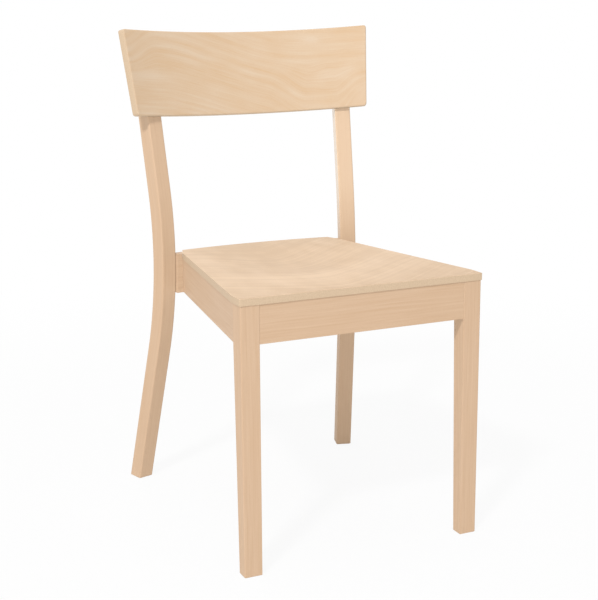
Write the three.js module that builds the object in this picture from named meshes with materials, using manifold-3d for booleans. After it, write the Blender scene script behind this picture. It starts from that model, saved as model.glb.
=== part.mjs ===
// A beech choir chair: a moulded seat on a rail frame, two tapered front legs, and two bent rear
// posts that carry a curved backrest. Millimetres, +Z up, the sitter faces -Y.
// Right is the +X side. Every piece is drawn for that side and mirrored for the left.
import * as THREE from "three";
import { mergeVertices } from "three/addons/utils/BufferGeometryUtils.js";
import Module from "manifold-3d";

const wasm = await Module();
wasm.setup();

// Fits that every joint shares
const jointGap = 0.3; // between faces that meet
const cutOverrun = 3; // how far a cutting body runs past the face that it opens
const weldDistance = 0.001; // vertices closer than this are one vertex
const railEase = 1; // eased edges of rails and corner blocks

// Seat panel
const seatHeight = 460; // top of the seat at its front edge
const seatThickness = 12;
const seatFall = 4.5; // how much lower the seat lies at its rear corners
const seatOverhang = 1.4; // past the front legs and the rails
const seatSideDepth = 417; // front face of the legs to the rear corners
const seatRearWidth = 318.7; // between the rear corners
const seatTongueDepth = 28; // the length of panel that lies over the rear rail
const seatTongueInset = 10; // how far the panel draws in there on each side
const seatBackRadius = 1019;
const seatCornerRadius = 4;
const seatEase = 1.6;
const hollowDepth = 8; // the panel is pressed down this much at the deepest place of its hollow
const hollowMiddleDepth = 275; // from the front face of the legs to that place
const hollowHalfWidth = 152; // of the hollow, across that place
const hollowDrawIn = 0.15; // how much of it each millimetre towards the back takes away
const hollowFrontReach = 175; // from that place to the hollow's front
const hollowRearReach = 150;
const hollowSquareness = 2.5; // 2 would be an ellipse

// Front legs, the apron between them and the side rails
const legSpread = 433; // between the outer faces
const legWidth = 32.1;
const legDepth = 32.2;
const footWidth = 30.7;
const footDepth = 23.3;
const legEase = 1.8;
const railHeight = 63.1;
const railThickness = 22;
const apronInset = 0.5; // behind the legs' front faces
const sideRailInset = 0.6; // inside the legs' outer faces

// Rear rail
const rearRailThickness = 19;
const earDrop = 3; // the rail's ends lie this much under the seat's top
const earWidth = 9.5; // from the seat's rear corner to the post

// Rear posts
const postWidth = 30;
const postDepth = 31.2;
const postSetback = 8.8; // from the seat's rear corner back to the post's front edge
const postTurn = 16.4; // degrees that the front faces turn towards the middle
const postLean = 1.05; // degrees that the posts lean towards each other
const postRake = 14.2; // degrees of the straight lower length
const postTilt = 11.3; // degrees of the straight upper length
const postBendRadius = 680;
const waistHeight = 434; // where the bend comes furthest forward
const postTopDrop = 12; // from the backrest's top edge down to the post's end
const postEase = 2.4;

// Backrest panel
const backrestBottomHeight = 706.5; // at the ends of the bottom edge
const backrestHeight = 153.8; // along its tilt
const backrestThickness = 15.3;
const backrestBottomWidth = 457.2;
const backrestTopWidth = 483.8;
const backrestBottomHollow = 50.3; // depth of the curve at the bottom edge
const backrestTopHollow = 53.2;
const backrestTilt = 11; // degrees
const backrestHousing = 6.9; // how deep the panel is let into the posts at half its height
const backrestEase = 2;
const backrestCornerRadius = 5;

// Dowels, corner blocks, screws and plugs
const dowelDiameter = 8;
const dowelLength = 40;
const dowelEase = 1;
const rearRailDowelDepth = 12; // how far the side rail dowels enter the rear rail
const lowDowelShares = [0.2, 0.64]; // heights on the rail, of the apron and the rear of the side rails
const highDowelShares = [0.42, 0.86]; // heights on the rail, of the dowels that cross behind them
const blockReach = 58;
const blockHeight = 30;
const blockScrewReachShare = 0.64;
const seatScrewReachShare = 0.28;
const blockScrewHeightShares = [0.3, 0.7];
const screwShankDiameter = 4;
const screwHeadDiameter = 8;
const screwHeadHeight = 3;
const screwTipLength = 4;
const screwRecess = 4; // how deep a head sits under the face of its block
const blockScrewGrip = 14; // length of thread in the rail
const seatScrewGrip = 8; // length of thread in the seat
const backrestScrewGrip = 9.5; // length of thread in the backrest
const backrestScrewShares = [0.24, 0.76]; // heights on the backrest
const plugDiameter = 10;
const plugLength = 6;

// How finely curves are drawn
const arcSteps = 16;
const bendSteps = 10;
const cornerSteps = 3;
const roundSides = 10;
const hollowSides = 40;
const hollowSteps = 7;

const radians = THREE.MathUtils.degToRad;
const up = new THREE.Vector3(0, 0, 1);

// Finishes
const beech = new THREE.MeshStandardMaterial({ color: 0xdcbc9b, roughness: 0.42, metalness: 0 });
const seatBeech = new THREE.MeshStandardMaterial({ color: 0xe8cdb0, roughness: 0.38, metalness: 0 });
const backrestBeech = new THREE.MeshStandardMaterial({ color: 0xe4c6a6, roughness: 0.38, metalness: 0 });
const rawBeech = new THREE.MeshStandardMaterial({ color: 0xd9bd98, roughness: 0.75, metalness: 0 });
const zincSteel = new THREE.MeshStandardMaterial({ color: 0xb9bab6, roughness: 0.35, metalness: 1 });

// Geometry helpers

// A closed geometry as a solid that can be joined and cut.
function solidOf(geometry) {
  const bare = new THREE.BufferGeometry();
  const loose = geometry.index ? geometry.toNonIndexed() : geometry;
  bare.setAttribute("position", loose.getAttribute("position").clone());
  const merged = mergeVertices(bare, weldDistance);
  const vertProperties = merged.attributes.position.array;
  return new wasm.Manifold(new wasm.Mesh({ numProp: 3, vertProperties, triVerts: merged.index.array }));
}

function fromSolid(solid) {
  const { vertProperties, triVerts } = solid.getMesh();
  const result = new THREE.BufferGeometry();
  result.setAttribute("position", new THREE.BufferAttribute(vertProperties, 3));
  result.setIndex(new THREE.BufferAttribute(triVerts, 1));
  return result;
}

// A geometry with every cutting geometry taken out of it.
function cut(geometry, cutters) {
  let solid = solidOf(geometry);
  for (const cutter of cutters) solid = solid.subtract(solidOf(cutter));
  return fromSolid(solid);
}

// Two overlapping geometries as one.
function joined(first, second) {
  return fromSolid(solidOf(first).add(solidOf(second)));
}

// The same shape on the other side of the chair, with its faces still pointing out.
function mirrored(geometry) {
  const loose = geometry.index ? geometry.toNonIndexed() : geometry;
  const from = loose.getAttribute("position");
  const turned = [];
  for (let face = 0; face < from.count; face += 3)
    for (const corner of [face, face + 2, face + 1])
      turned.push(-from.getX(corner), from.getY(corner), from.getZ(corner));
  const result = new THREE.BufferGeometry();
  result.setAttribute("position", new THREE.Float32BufferAttribute(turned, 3));
  return result;
}

// A closed skin over rings with the same number of points, each counter-clockwise seen from its end.
function skin(rings) {
  const size = rings[0].length;
  const points = rings.flat();
  const index = [];
  for (let ring = 0; ring + 1 < rings.length; ring += 1)
    for (let k = 0; k < size; k += 1) {
      const here = ring * size + k;
      const next = ring * size + ((k + 1) % size);
      index.push(here, next, next + size, here, next + size, here + size);
    }
  const last = points.length - size;
  for (let k = 1; k + 1 < size; k += 1) {
    index.push(0, k + 1, k);
    index.push(last, last + k, last + k + 1);
  }
  const geometry = new THREE.BufferGeometry().setFromPoints(points);
  geometry.setIndex(index);
  return geometry;
}

// The corners of a rectangle with its corners cut off, counter-clockwise.
function easedRectangle(x0, x1, y0, y1, ease) {
  return [
    [x0 + ease, y0],
    [x1 - ease, y0],
    [x1, y0 + ease],
    [x1, y1 - ease],
    [x1 - ease, y1],
    [x0 + ease, y1],
    [x0, y1 - ease],
    [x0, y0 + ease],
  ];
}

// The points of an outline whose corners are turned by a radius.
function roundCorners(corners, radius) {
  return corners.flatMap((corner, k) => {
    const before = corners.at(k - 1).clone().sub(corner).normalize();
    const after = corners[(k + 1) % corners.length].clone().sub(corner).normalize();
    const half = before.angleTo(after) / 2;
    const centre = before.clone().add(after).normalize().multiplyScalar(radius / Math.sin(half)).add(corner);
    const start = before.multiplyScalar(radius / Math.tan(half)).add(corner).sub(centre);
    const turn = Math.PI - 2 * half;
    const points = [];
    for (let step = 0; step <= cornerSteps; step += 1)
      points.push(start.clone().rotateAround(new THREE.Vector2(), (turn * step) / cornerSteps).add(centre));
    return points;
  });
}

// A plan outline made as thick as the height between two levels, with eased edges.
function slab(outline, bottom, top, ease) {
  const geometry = new THREE.ExtrudeGeometry(new THREE.Shape(outline), {
    depth: top - bottom - 2 * ease,
    bevelEnabled: ease > 0,
    bevelSize: ease,
    bevelThickness: ease,
    bevelOffset: -ease,
    bevelSegments: 1,
    steps: 1,
    curveSegments: 1,
  });
  return geometry.translate(0, 0, bottom + ease);
}

// A turned piece with its axis from a point along a direction; the profile holds radius and distance.
function turned(profile, from, direction) {
  const points = profile.map(([radius, distance]) => new THREE.Vector2(radius, distance));
  const geometry = new THREE.LatheGeometry(points, roundSides);
  const quaternion = new THREE.Quaternion().setFromUnitVectors(new THREE.Vector3(0, 1, 0), direction);
  return geometry.applyQuaternion(quaternion).translate(from.x, from.y, from.z);
}

// Seat frame: everything between the legs and posts is drawn level and then settles towards the back.
const seatUnderside = seatHeight - seatThickness;
const railTop = seatUnderside - jointGap;
const railBottom = railTop - railHeight;
const fallSlope = seatFall / seatSideDepth;
const settling = new THREE.Matrix4().set(1, 0, 0, 0, 0, 1, 0, 0, 0, -fallSlope, 1, 0, 0, 0, 0, 1);

function settled(geometry) {
  return geometry.applyMatrix4(settling);
}

function levelAt(level, depth) {
  return level - fallSlope * depth;
}

// Plan of the seat frame, right side
const legOuter = legSpread / 2;
const legInner = legOuter - legWidth;
const seatFrontHalf = legOuter + seatOverhang;
const seatRearHalf = seatRearWidth / 2;
const tongueHalf = seatRearHalf - seatTongueInset;
const tongueEnd = seatSideDepth + seatTongueDepth;
const arcCentreY = tongueEnd - Math.sqrt(seatBackRadius ** 2 - tongueHalf ** 2);
const rearRailBackRadius = seatBackRadius - seatOverhang;
const rearRailFrontRadius = rearRailBackRadius - rearRailThickness;
const sideRailStart = new THREE.Vector2(legOuter - sideRailInset, legDepth);
const sideRailEnd = new THREE.Vector2(seatRearHalf - seatOverhang, seatSideDepth);
const sideRailAlong = sideRailEnd.clone().sub(sideRailStart).normalize();
const sideRailOutward = new THREE.Vector2(sideRailAlong.y, -sideRailAlong.x);

// A point of the arc around the seat's back centre, at a distance from the middle of the chair.
function arcPoint(radius, x) {
  return new THREE.Vector2(x, arcCentreY + Math.sqrt(radius ** 2 - x ** 2));
}

// Points along that arc from one place to another.
function arcPoints(radius, fromX, toX, steps) {
  const points = [];
  for (let step = 0; step <= steps; step += 1)
    points.push(arcPoint(radius, fromX + ((toX - fromX) * step) / steps));
  return points;
}

// Where a line that runs beside the side rail, this far inside its outer face, meets an arc.
function sideRailOnArc(radius, inside) {
  const start = sideRailStart.clone().addScaledVector(sideRailOutward, -inside);
  start.y -= arcCentreY;
  const along = start.dot(sideRailAlong);
  const run = -along + Math.sqrt(along ** 2 - start.lengthSq() + radius ** 2);
  start.y += arcCentreY;
  return start.addScaledVector(sideRailAlong, run);
}

// Where that line meets a line across the chair.
function sideRailAtDepth(depth, inside) {
  const start = sideRailStart.clone().addScaledVector(sideRailOutward, -inside);
  return start.addScaledVector(sideRailAlong, (depth - start.y) / sideRailAlong.y);
}

// Frame of a rear post: across its width, front to back, and up its lean, from its waist
const turn = radians(postTurn);
const rake = radians(postRake);
const tilt = radians(postTilt);
const postAcross = new THREE.Vector3(Math.cos(turn), -Math.sin(turn), 0);
const postBack = new THREE.Vector3(Math.sin(turn), Math.cos(turn), 0);
const postUp = new THREE.Vector3(-Math.tan(radians(postLean)), 0, 1);
const postFrontEdge = new THREE.Vector3(seatRearHalf + earWidth, seatSideDepth + postSetback, waistHeight);
const postWaist = postFrontEdge
  .clone()
  .addScaledVector(postAcross, postWidth / 2)
  .addScaledVector(postBack, postDepth / 2);
const postFrame = new THREE.Matrix4()
  .makeBasis(postBack, postUp, postAcross)
  .setPosition(postWaist.clone().addScaledVector(postUp, -waistHeight));

// Side view of a post: distance back from the waist and height, for a line this far behind its middle.
function postLinePoint(angle, behind) {
  const reach = postBendRadius - behind;
  return new THREE.Vector2(postBendRadius - reach * Math.cos(angle), waistHeight + reach * Math.sin(angle));
}

function postLineAtHeight(height, behind) {
  const bendStart = postLinePoint(-rake, behind);
  const bendEnd = postLinePoint(tilt, behind);
  if (height < bendStart.y) return bendStart.x + (bendStart.y - height) * Math.tan(rake);
  if (height > bendEnd.y) return bendEnd.x + (height - bendEnd.y) * Math.tan(tilt);
  const reach = postBendRadius - behind;
  return postBendRadius - Math.sqrt(reach ** 2 - (height - waistHeight) ** 2);
}

// A point inside or on a post, from its side view and its place across the width.
function postPoint(back, height, across) {
  return new THREE.Vector3(back, height, across).applyMatrix4(postFrame);
}

// Front legs

// The leg's section at a height, grown all round; the taper is on the inner and the rear face.
function legRing(level, grow, ease) {
  const taperShare = Math.min(Math.max(level, 0) / railBottom, 1);
  const width = THREE.MathUtils.lerp(footWidth, legWidth, taperShare);
  const depth = THREE.MathUtils.lerp(footDepth, legDepth, taperShare);
  const corners = easedRectangle(legOuter - width - grow, legOuter + grow, -grow, depth + grow, ease);
  return corners.map(([x, y]) => new THREE.Vector3(x, y, level));
}

function legSkin(grow) {
  const foot = legRing(0, grow - legEase, legEase);
  const ankle = legRing(legEase, grow, legEase);
  const knee = legRing(railBottom, grow, legEase);
  const top = legRing(railTop, grow, legEase);
  for (const point of top) point.z = levelAt(railTop, point.y) + grow;
  return skin([foot, ankle, knee, top]);
}

// Rails

function apronOutline() {
  const end = legInner - jointGap;
  const back = apronInset + railThickness;
  return [
    new THREE.Vector2(-end, apronInset),
    new THREE.Vector2(end, apronInset),
    new THREE.Vector2(end, back),
    new THREE.Vector2(-end, back),
  ];
}

function sideRailOutline() {
  const front = legDepth + jointGap;
  const back = rearRailFrontRadius - jointGap;
  const inner = sideRailOnArc(back, railThickness);
  const outer = sideRailOnArc(back, 0);
  return [
    sideRailAtDepth(front, railThickness),
    sideRailAtDepth(front, 0),
    outer,
    arcPoint(back, (outer.x + inner.x) / 2),
    inner,
  ];
}

// The rear rail runs on into the posts, and its ends are then cut along their inner faces.
function rearRailOutline() {
  const reach = postFrontEdge.x + postWidth / 2;
  return [
    ...arcPoints(rearRailFrontRadius, -reach, reach, arcSteps),
    ...arcPoints(rearRailBackRadius, reach, -reach, arcSteps),
  ];
}

// The space over the rail that the seat panel fills, between the two ears.
function tongueSpace() {
  const drawIn = new THREE.Vector2(-seatTongueInset, seatTongueDepth).normalize();
  const corner = new THREE.Vector2(seatRearHalf + jointGap, seatSideDepth);
  const front = corner.clone().addScaledVector(drawIn, -seatTongueDepth);
  const back = corner.clone().addScaledVector(drawIn, 2 * seatTongueDepth);
  const outline = [new THREE.Vector2(-front.x, front.y), front, back, new THREE.Vector2(-back.x, back.y)];
  return settled(slab(outline, railTop, seatHeight + cutOverrun, 0));
}

// Everything past the inner face of a post, less the gap of the joint.
function postSideSpace() {
  const size = 2 * (railHeight + postWidth);
  const box = new THREE.BoxGeometry(size, size, size);
  const place = postFrame.clone();
  place.setPosition(postPoint(0, railBottom + railHeight / 2, size / 2 - postWidth / 2 - jointGap));
  return box.applyMatrix4(place);
}

function seatOutline() {
  const front = [
    new THREE.Vector2(-seatFrontHalf, -seatOverhang),
    new THREE.Vector2(seatFrontHalf, -seatOverhang),
    new THREE.Vector2(seatFrontHalf, legDepth),
    new THREE.Vector2(-seatFrontHalf, legDepth),
  ];
  const rounded = roundCorners(front, seatCornerRadius).slice(0, 2 * (cornerSteps + 1));
  return [
    ...rounded,
    new THREE.Vector2(seatFrontHalf, legDepth),
    new THREE.Vector2(seatRearHalf, seatSideDepth),
    ...arcPoints(seatBackRadius, tongueHalf, -tongueHalf, arcSteps),
    new THREE.Vector2(-seatRearHalf, seatSideDepth),
    new THREE.Vector2(-seatFrontHalf, legDepth),
  ];
}

// A ring of the hollow at a share of its reach, on a level.
function hollowRing(share, level) {
  const ring = [];
  for (let k = 0; k < hollowSides; k += 1) {
    const angle = (2 * Math.PI * k) / hollowSides;
    const [across, along] = [Math.cos(angle), Math.sin(angle)].map(
      (part) => share * Math.sign(part) * Math.abs(part) ** (2 / hollowSquareness),
    );
    const run = along * (along < 0 ? hollowFrontReach : hollowRearReach);
    const x = across * (hollowHalfWidth - hollowDrawIn * run);
    ring.push(new THREE.Vector3(x, hollowMiddleDepth + run, level));
  }
  return ring;
}

// The body between the hollow in a level surface and a lid over it.
function hollowBody(level, lid) {
  const rings = [];
  for (let step = 1; step <= hollowSteps; step += 1) {
    const share = step / hollowSteps;
    rings.push(hollowRing(share, level - hollowDepth * (1 - share ** 2) ** 2));
  }
  rings.push(hollowRing(1, level + lid));
  return settled(skin(rings));
}

// Rear posts

// The post in side view: foot on the floor, front face up, square end, back face down.
function postOutline(topHeight) {
  const half = postDepth / 2;
  const end = new THREE.Vector2(postLineAtHeight(topHeight, 0), topHeight);
  const endAcross = new THREE.Vector2(Math.cos(tilt), -Math.sin(tilt)).multiplyScalar(half);
  const front = [];
  const back = [];
  for (let step = 0; step <= bendSteps; step += 1) {
    const angle = THREE.MathUtils.lerp(-rake, tilt, step / bendSteps);
    front.push(postLinePoint(angle, -half));
    back.unshift(postLinePoint(angle, half));
  }
  return [
    new THREE.Vector2(postLineAtHeight(0, half), 0),
    ...back.toReversed(),
    end.clone().add(endAcross),
    end.clone().sub(endAcross),
    ...front.toReversed(),
    new THREE.Vector2(postLineAtHeight(0, -half), 0),
  ];
}

function postBody(topHeight) {
  const flat = slab(postOutline(topHeight), -postWidth / 2, postWidth / 2, postEase);
  return flat.applyMatrix4(postFrame);
}

// Backrest panel

const backrestSine = Math.sin(radians(backrestTilt));
const backrestCosine = Math.cos(radians(backrestTilt));

// One of the panel's two long curves: from the share across, the place along the chord and behind its ends.
function backrestArc(width, hollow, share, behind) {
  const half = width / 2;
  const radius = (half ** 2 + hollow ** 2) / (2 * hollow);
  const angle = share * Math.asin(half / radius);
  const reach = radius + behind;
  return new THREE.Vector2(reach * Math.sin(angle), reach * Math.cos(angle) - (radius - hollow));
}

// A point of the panel, from the share across, the rise along its tilt and the depth behind its front.
function backrestLocal(share, rise, behind) {
  const low = backrestArc(backrestBottomWidth, backrestBottomHollow, share, behind);
  const high = backrestArc(backrestTopWidth, backrestTopHollow, share, behind);
  const place = low.lerp(high, rise / backrestHeight);
  return new THREE.Vector3(
    place.x,
    rise * backrestSine + place.y * backrestCosine,
    backrestBottomHeight + rise * backrestCosine - place.y * backrestSine,
  );
}

// The panel stands so deep that its back is let into the posts' front faces at mid height.
function backrestStandingDepth() {
  const rise = backrestHeight / 2;
  const height = backrestLocal(1, rise, backrestThickness).z;
  const front = postPoint(postLineAtHeight(height, -postDepth / 2), height, 0);
  let share = 0.5;
  for (let round = 0; round < roundSides; round += 1)
    share *= front.x / backrestLocal(share, rise, backrestThickness).x;
  return front.y + backrestHousing - backrestLocal(share, rise, backrestThickness).y;
}

const backrestDepth = backrestStandingDepth();

function backrestPoint(share, rise, behind) {
  const point = backrestLocal(share, rise, behind);
  point.y += backrestDepth;
  return point;
}

// The panel's section at a share across, drawn in by an inset at its edges and faces.
function backrestRing(share, edgeInset, faceInset) {
  const corners = easedRectangle(
    faceInset,
    backrestThickness - faceInset,
    edgeInset,
    backrestHeight - edgeInset,
    Math.max(backrestEase - faceInset, 0) + weldDistance,
  );
  return corners.map(([behind, rise]) => backrestPoint(share, rise, behind));
}

// The whole panel, from its left end to its right end, grown by a gap; the ends have round corners.
function backrestSkin(grow) {
  const half = backrestBottomWidth / 2;
  const endShare = 1 + grow / half;
  const left = [];
  for (let step = 0; step <= cornerSteps; step += 1) {
    const angle = (Math.PI / 2) * (step / cornerSteps);
    const fromEnd = backrestCornerRadius * (1 - Math.cos(angle));
    const fromEdge = backrestCornerRadius * (1 - Math.sin(angle));
    left.push({ share: -endShare + fromEnd / half, edgeInset: fromEdge - grow, faceInset: -grow });
  }
  const eased = { ...left[0], edgeInset: left[0].edgeInset + backrestEase, faceInset: backrestEase - grow };
  left[0].share += backrestEase / half;
  const ends = [eased, ...left];
  const middle = [];
  for (let step = 1; step < arcSteps; step += 1) {
    const share = THREE.MathUtils.lerp(left.at(-1).share, -left.at(-1).share, step / arcSteps);
    middle.push({ share, edgeInset: -grow, faceInset: -grow });
  }
  const right = ends.toReversed().map((place) => ({ ...place, share: -place.share }));
  const places = [...ends, ...middle, ...right];
  return skin(places.map((place) => backrestRing(place.share, place.edgeInset, place.faceInset)));
}

// Fasteners: each is a body and the hole that takes it

function dowel(from, direction, length) {
  const radius = dowelDiameter / 2;
  const profile = [
    [0, 0],
    [radius - dowelEase, 0],
    [radius, dowelEase],
    [radius, length - dowelEase],
    [radius - dowelEase, length],
    [0, length],
  ];
  const hole = [
    [0, -jointGap],
    [radius + jointGap, -jointGap],
    [radius + jointGap, length + jointGap],
    [0, length + jointGap],
  ];
  return { body: turned(profile, from, direction), hole: turned(hole, from, direction) };
}

// A screw from the outer face of its head to its tip, with room for the head as far out as asked.
function screw(from, direction, length, access, accessRadius) {
  const shank = screwShankDiameter / 2;
  const head = screwHeadDiameter / 2;
  const profile = [
    [0, 0],
    [head, 0],
    [head, screwHeadHeight],
    [shank, screwHeadHeight],
    [shank, length - screwTipLength],
    [0, length],
  ];
  const hole = [
    [0, -access],
    [accessRadius + jointGap, -access],
    [accessRadius + jointGap, screwHeadHeight + jointGap],
    [shank + jointGap, screwHeadHeight + jointGap],
    [shank + jointGap, length],
    [0, length + jointGap],
  ];
  return { body: turned(profile, from, direction), hole: turned(hole, from, direction) };
}

function plug(from, direction) {
  const radius = plugDiameter / 2;
  const profile = [
    [0, 0],
    [radius, 0],
    [radius, plugLength],
    [0, plugLength],
  ];
  return turned(profile, from, direction);
}

// A plan point at a level of the seat frame, settled with it.
function framePoint(place, level) {
  return new THREE.Vector3(place.x, place.y, levelAt(level, place.y));
}

function planDirection(direction) {
  return new THREE.Vector3(direction.x, direction.y, 0);
}

// Two dowels across the joint between the apron and a leg.
function apronDowels() {
  const place = new THREE.Vector2(legInner - dowelLength / 2, apronInset + railThickness / 2);
  return lowDowelShares.map((share) =>
    dowel(framePoint(place, railBottom + share * railHeight), new THREE.Vector3(1, 0, 0), dowelLength),
  );
}

// Two dowels across the joint between a leg and a side rail, clear of the apron's.
function legDowels() {
  const place = sideRailAtDepth(legDepth, railThickness / 2);
  place.y -= dowelLength / 2;
  return highDowelShares.map((share) =>
    dowel(framePoint(place, railBottom + share * railHeight), new THREE.Vector3(0, 1, 0), dowelLength),
  );
}

// Two dowels across the joint between a side rail and the rear rail.
function sideRailDowels() {
  const place = sideRailOnArc(rearRailFrontRadius, railThickness / 2);
  place.addScaledVector(sideRailAlong, rearRailDowelDepth - dowelLength);
  return lowDowelShares.map((share) =>
    dowel(framePoint(place, railBottom + share * railHeight), planDirection(sideRailAlong), dowelLength),
  );
}

// Two dowels across the joint between the rear rail and a post, along the rail and behind the post's edge.
function postDowels() {
  const place = arcPoint(rearRailBackRadius, postFrontEdge.x);
  const along = new THREE.Vector3(place.y - arcCentreY, -place.x, 0).normalize();
  place.y = (place.y + postFrontEdge.y) / 2;
  return highDowelShares.map((share) => {
    const centre = framePoint(place, railBottom + share * railHeight);
    const face = postPoint(0, centre.z, -postWidth / 2);
    const toFace = face.sub(centre).dot(postAcross) / along.dot(postAcross);
    centre.addScaledVector(along, toFace - dowelLength / 2);
    return dowel(centre, along, dowelLength);
  });
}

// A corner block: its corner, the directions of the rails beside it and the directions into those rails.
const blockFrontDepth = apronInset + railThickness + jointGap;
const frontBlock = {
  corner: sideRailAtDepth(blockFrontDepth, railThickness + jointGap),
  sides: [new THREE.Vector2(-1, 0), sideRailAlong],
  normals: [new THREE.Vector2(0, -1), sideRailOutward],
};
const rearBlockCorner = sideRailOnArc(rearRailFrontRadius - jointGap, railThickness + jointGap);
const rearBlockEnd = arcPoint(rearRailFrontRadius - jointGap, rearBlockCorner.x - blockReach);
const rearBlockAlong = rearBlockEnd.clone().sub(rearBlockCorner).normalize();
const rearBlock = {
  corner: rearBlockCorner,
  sides: [rearBlockAlong, sideRailAlong.clone().negate()],
  normals: [new THREE.Vector2(-rearBlockAlong.y, rearBlockAlong.x).negate(), sideRailOutward],
};

// The end of a block's face along one of its rails.
function blockEnd(block, side) {
  return block.corner.clone().addScaledVector(block.sides[side], blockReach);
}

// How far a place on a block's rail face is from its slanted face, measured out of the rail.
function blockThicknessAt(block, place, normal) {
  const slant = blockEnd(block, 1).sub(blockEnd(block, 0));
  const slantNormal = new THREE.Vector2(slant.y, -slant.x).normalize();
  const distance = blockEnd(block, 0).sub(place).dot(slantNormal);
  return Math.abs(distance / normal.dot(slantNormal));
}

// The two screws of a block into its rails, and the one up into the seat.
function blockScrews(block) {
  return block.sides.map((side, k) => {
    const normal = block.normals[k];
    const place = block.corner.clone().addScaledVector(side, blockScrewReachShare * blockReach);
    const sunk = screwRecess + screwHeadDiameter / 2;
    const inBlock = blockThicknessAt(block, place, normal) - sunk;
    const from = place.addScaledVector(normal, -inBlock);
    const level = railTop - blockHeight + blockScrewHeightShares[k] * blockHeight;
    const access = sunk + screwHeadDiameter;
    const length = inBlock + jointGap + blockScrewGrip;
    return screw(framePoint(from, level), planDirection(normal), length, access, screwHeadDiameter / 2);
  });
}

function seatScrew(block) {
  const place = block.corner.clone();
  for (const side of block.sides) place.addScaledVector(side, seatScrewReachShare * blockReach);
  const from = framePoint(place, railTop - blockHeight + screwRecess);
  const length = blockHeight - screwRecess + jointGap + seatScrewGrip;
  return screw(from, up, length, screwRecess + cutOverrun, screwHeadDiameter / 2);
}

// Two screws through each post into the backrest, each under a plug.
function backrestScrews() {
  const forward = postBack.clone().multiplyScalar(-Math.cos(tilt)).addScaledVector(up, Math.sin(tilt));
  return backrestScrewShares.map((share) => {
    const height = backrestLocal(1, share * backrestHeight, backrestThickness).z;
    const middle = postPoint(postLineAtHeight(height, 0), height, 0);
    const backFace = middle.addScaledVector(forward, -postDepth / 2);
    const from = backFace.clone().addScaledVector(forward, plugLength + jointGap);
    const length = postDepth - backrestHousing - plugLength + backrestScrewGrip;
    const access = plugLength + jointGap + cutOverrun;
    return { ...screw(from, forward, length, access, plugDiameter / 2), plug: plug(backFace, forward) };
  });
}

// Assembly
const chair = new THREE.Group();

function place(name, geometry, material) {
  const faceted = geometry.index ? geometry.toNonIndexed() : geometry;
  faceted.computeVertexNormals();
  const mesh = new THREE.Mesh(faceted, material);
  mesh.name = name;
  chair.add(mesh);
}

// The same piece on both sides of the chair.
function placePair(name, geometry, material) {
  place(`${name}_right`, geometry, material);
  place(`${name}_left`, mirrored(geometry), material);
}

function holes(fasteners) {
  return fasteners.map((fastener) => fastener.hole);
}

function bothSides(cutters) {
  return [...cutters, ...cutters.map(mirrored)];
}

const joints = {
  apron: apronDowels(),
  leg: legDowels(),
  sideRail: sideRailDowels(),
  post: postDowels(),
};
const frontScrews = blockScrews(frontBlock);
const rearScrews = blockScrews(rearBlock);
const seatScrews = [seatScrew(frontBlock), seatScrew(rearBlock)];
const backrestFixings = backrestScrews();

const backrestTop = backrestPoint(1, backrestHeight, backrestThickness).z;
const postTop = backrestTop - postTopDrop;

placePair("front_leg", cut(legSkin(0), holes([...joints.apron, ...joints.leg])), beech);
placePair(
  "rear_post",
  cut(postBody(postTop), [backrestSkin(jointGap), ...holes([...joints.post, ...backrestFixings])]),
  beech,
);

const apron = settled(slab(apronOutline(), railBottom, railTop, railEase));
place("front_apron", cut(apron, bothSides(holes([...joints.apron, frontScrews[0]]))), beech);

const sideRail = settled(slab(sideRailOutline(), railBottom, railTop, railEase));
const sideRailJoints = [...joints.leg, ...joints.sideRail, frontScrews[1], rearScrews[1]];
placePair("side_rail", cut(sideRail, holes(sideRailJoints)), beech);

const rearRail = settled(slab(rearRailOutline(), railBottom, seatHeight - earDrop, railEase));
const rearRailJoints = holes([...joints.sideRail, ...joints.post, rearScrews[0]]);
place("rear_rail", cut(rearRail, [tongueSpace(), ...bothSides([postSideSpace(), ...rearRailJoints])]), beech);

const seatBoard = settled(slab(seatOutline(), seatUnderside, seatHeight, seatEase));
const seat = joined(seatBoard, hollowBody(seatUnderside, seatThickness / 2));
const seatCuts = [hollowBody(seatHeight, cutOverrun), ...bothSides(holes(seatScrews))];
place("seat_panel", cut(seat, seatCuts), seatBeech);
place("backrest_panel", cut(backrestSkin(0), bothSides(holes(backrestFixings))), backrestBeech);

const frontBlockOutline = [blockEnd(frontBlock, 0), frontBlock.corner, blockEnd(frontBlock, 1)];
const rearBlockOutline = [
  blockEnd(rearBlock, 1),
  ...arcPoints(rearRailFrontRadius - jointGap, rearBlockCorner.x, rearBlockEnd.x, cornerSteps),
];
const blockBottom = railTop - blockHeight;
const frontBlockBody = settled(slab(frontBlockOutline, blockBottom, railTop, railEase));
const frontBlockCuts = [legSkin(jointGap), ...holes([...frontScrews, seatScrews[0]])];
placePair("front_corner_block", cut(frontBlockBody, frontBlockCuts), rawBeech);
const rearBlockBody = settled(slab(rearBlockOutline, blockBottom, railTop, railEase));
placePair("rear_corner_block", cut(rearBlockBody, holes([...rearScrews, seatScrews[1]])), rawBeech);

const dowelNames = { apron: "apron_dowel", leg: "leg_dowel", sideRail: "side_rail_dowel", post: "post_dowel" };
for (const [joint, dowels] of Object.entries(joints))
  dowels.forEach(({ body }, k) => placePair(`${dowelNames[joint]}_${k ? "upper" : "lower"}`, body, rawBeech));
frontScrews.forEach(({ body }, k) => placePair(`front_block_screw_${k + 1}`, body, zincSteel));
rearScrews.forEach(({ body }, k) => placePair(`rear_block_screw_${k + 1}`, body, zincSteel));
seatScrews.forEach(({ body }, k) => placePair(`seat_screw_${k ? "rear" : "front"}`, body, zincSteel));
backrestFixings.forEach((fixing, k) => {
  placePair(`backrest_screw_${k ? "upper" : "lower"}`, fixing.body, zincSteel);
  placePair(`screw_plug_${k ? "upper" : "lower"}`, fixing.plug, rawBeech);
});

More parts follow.
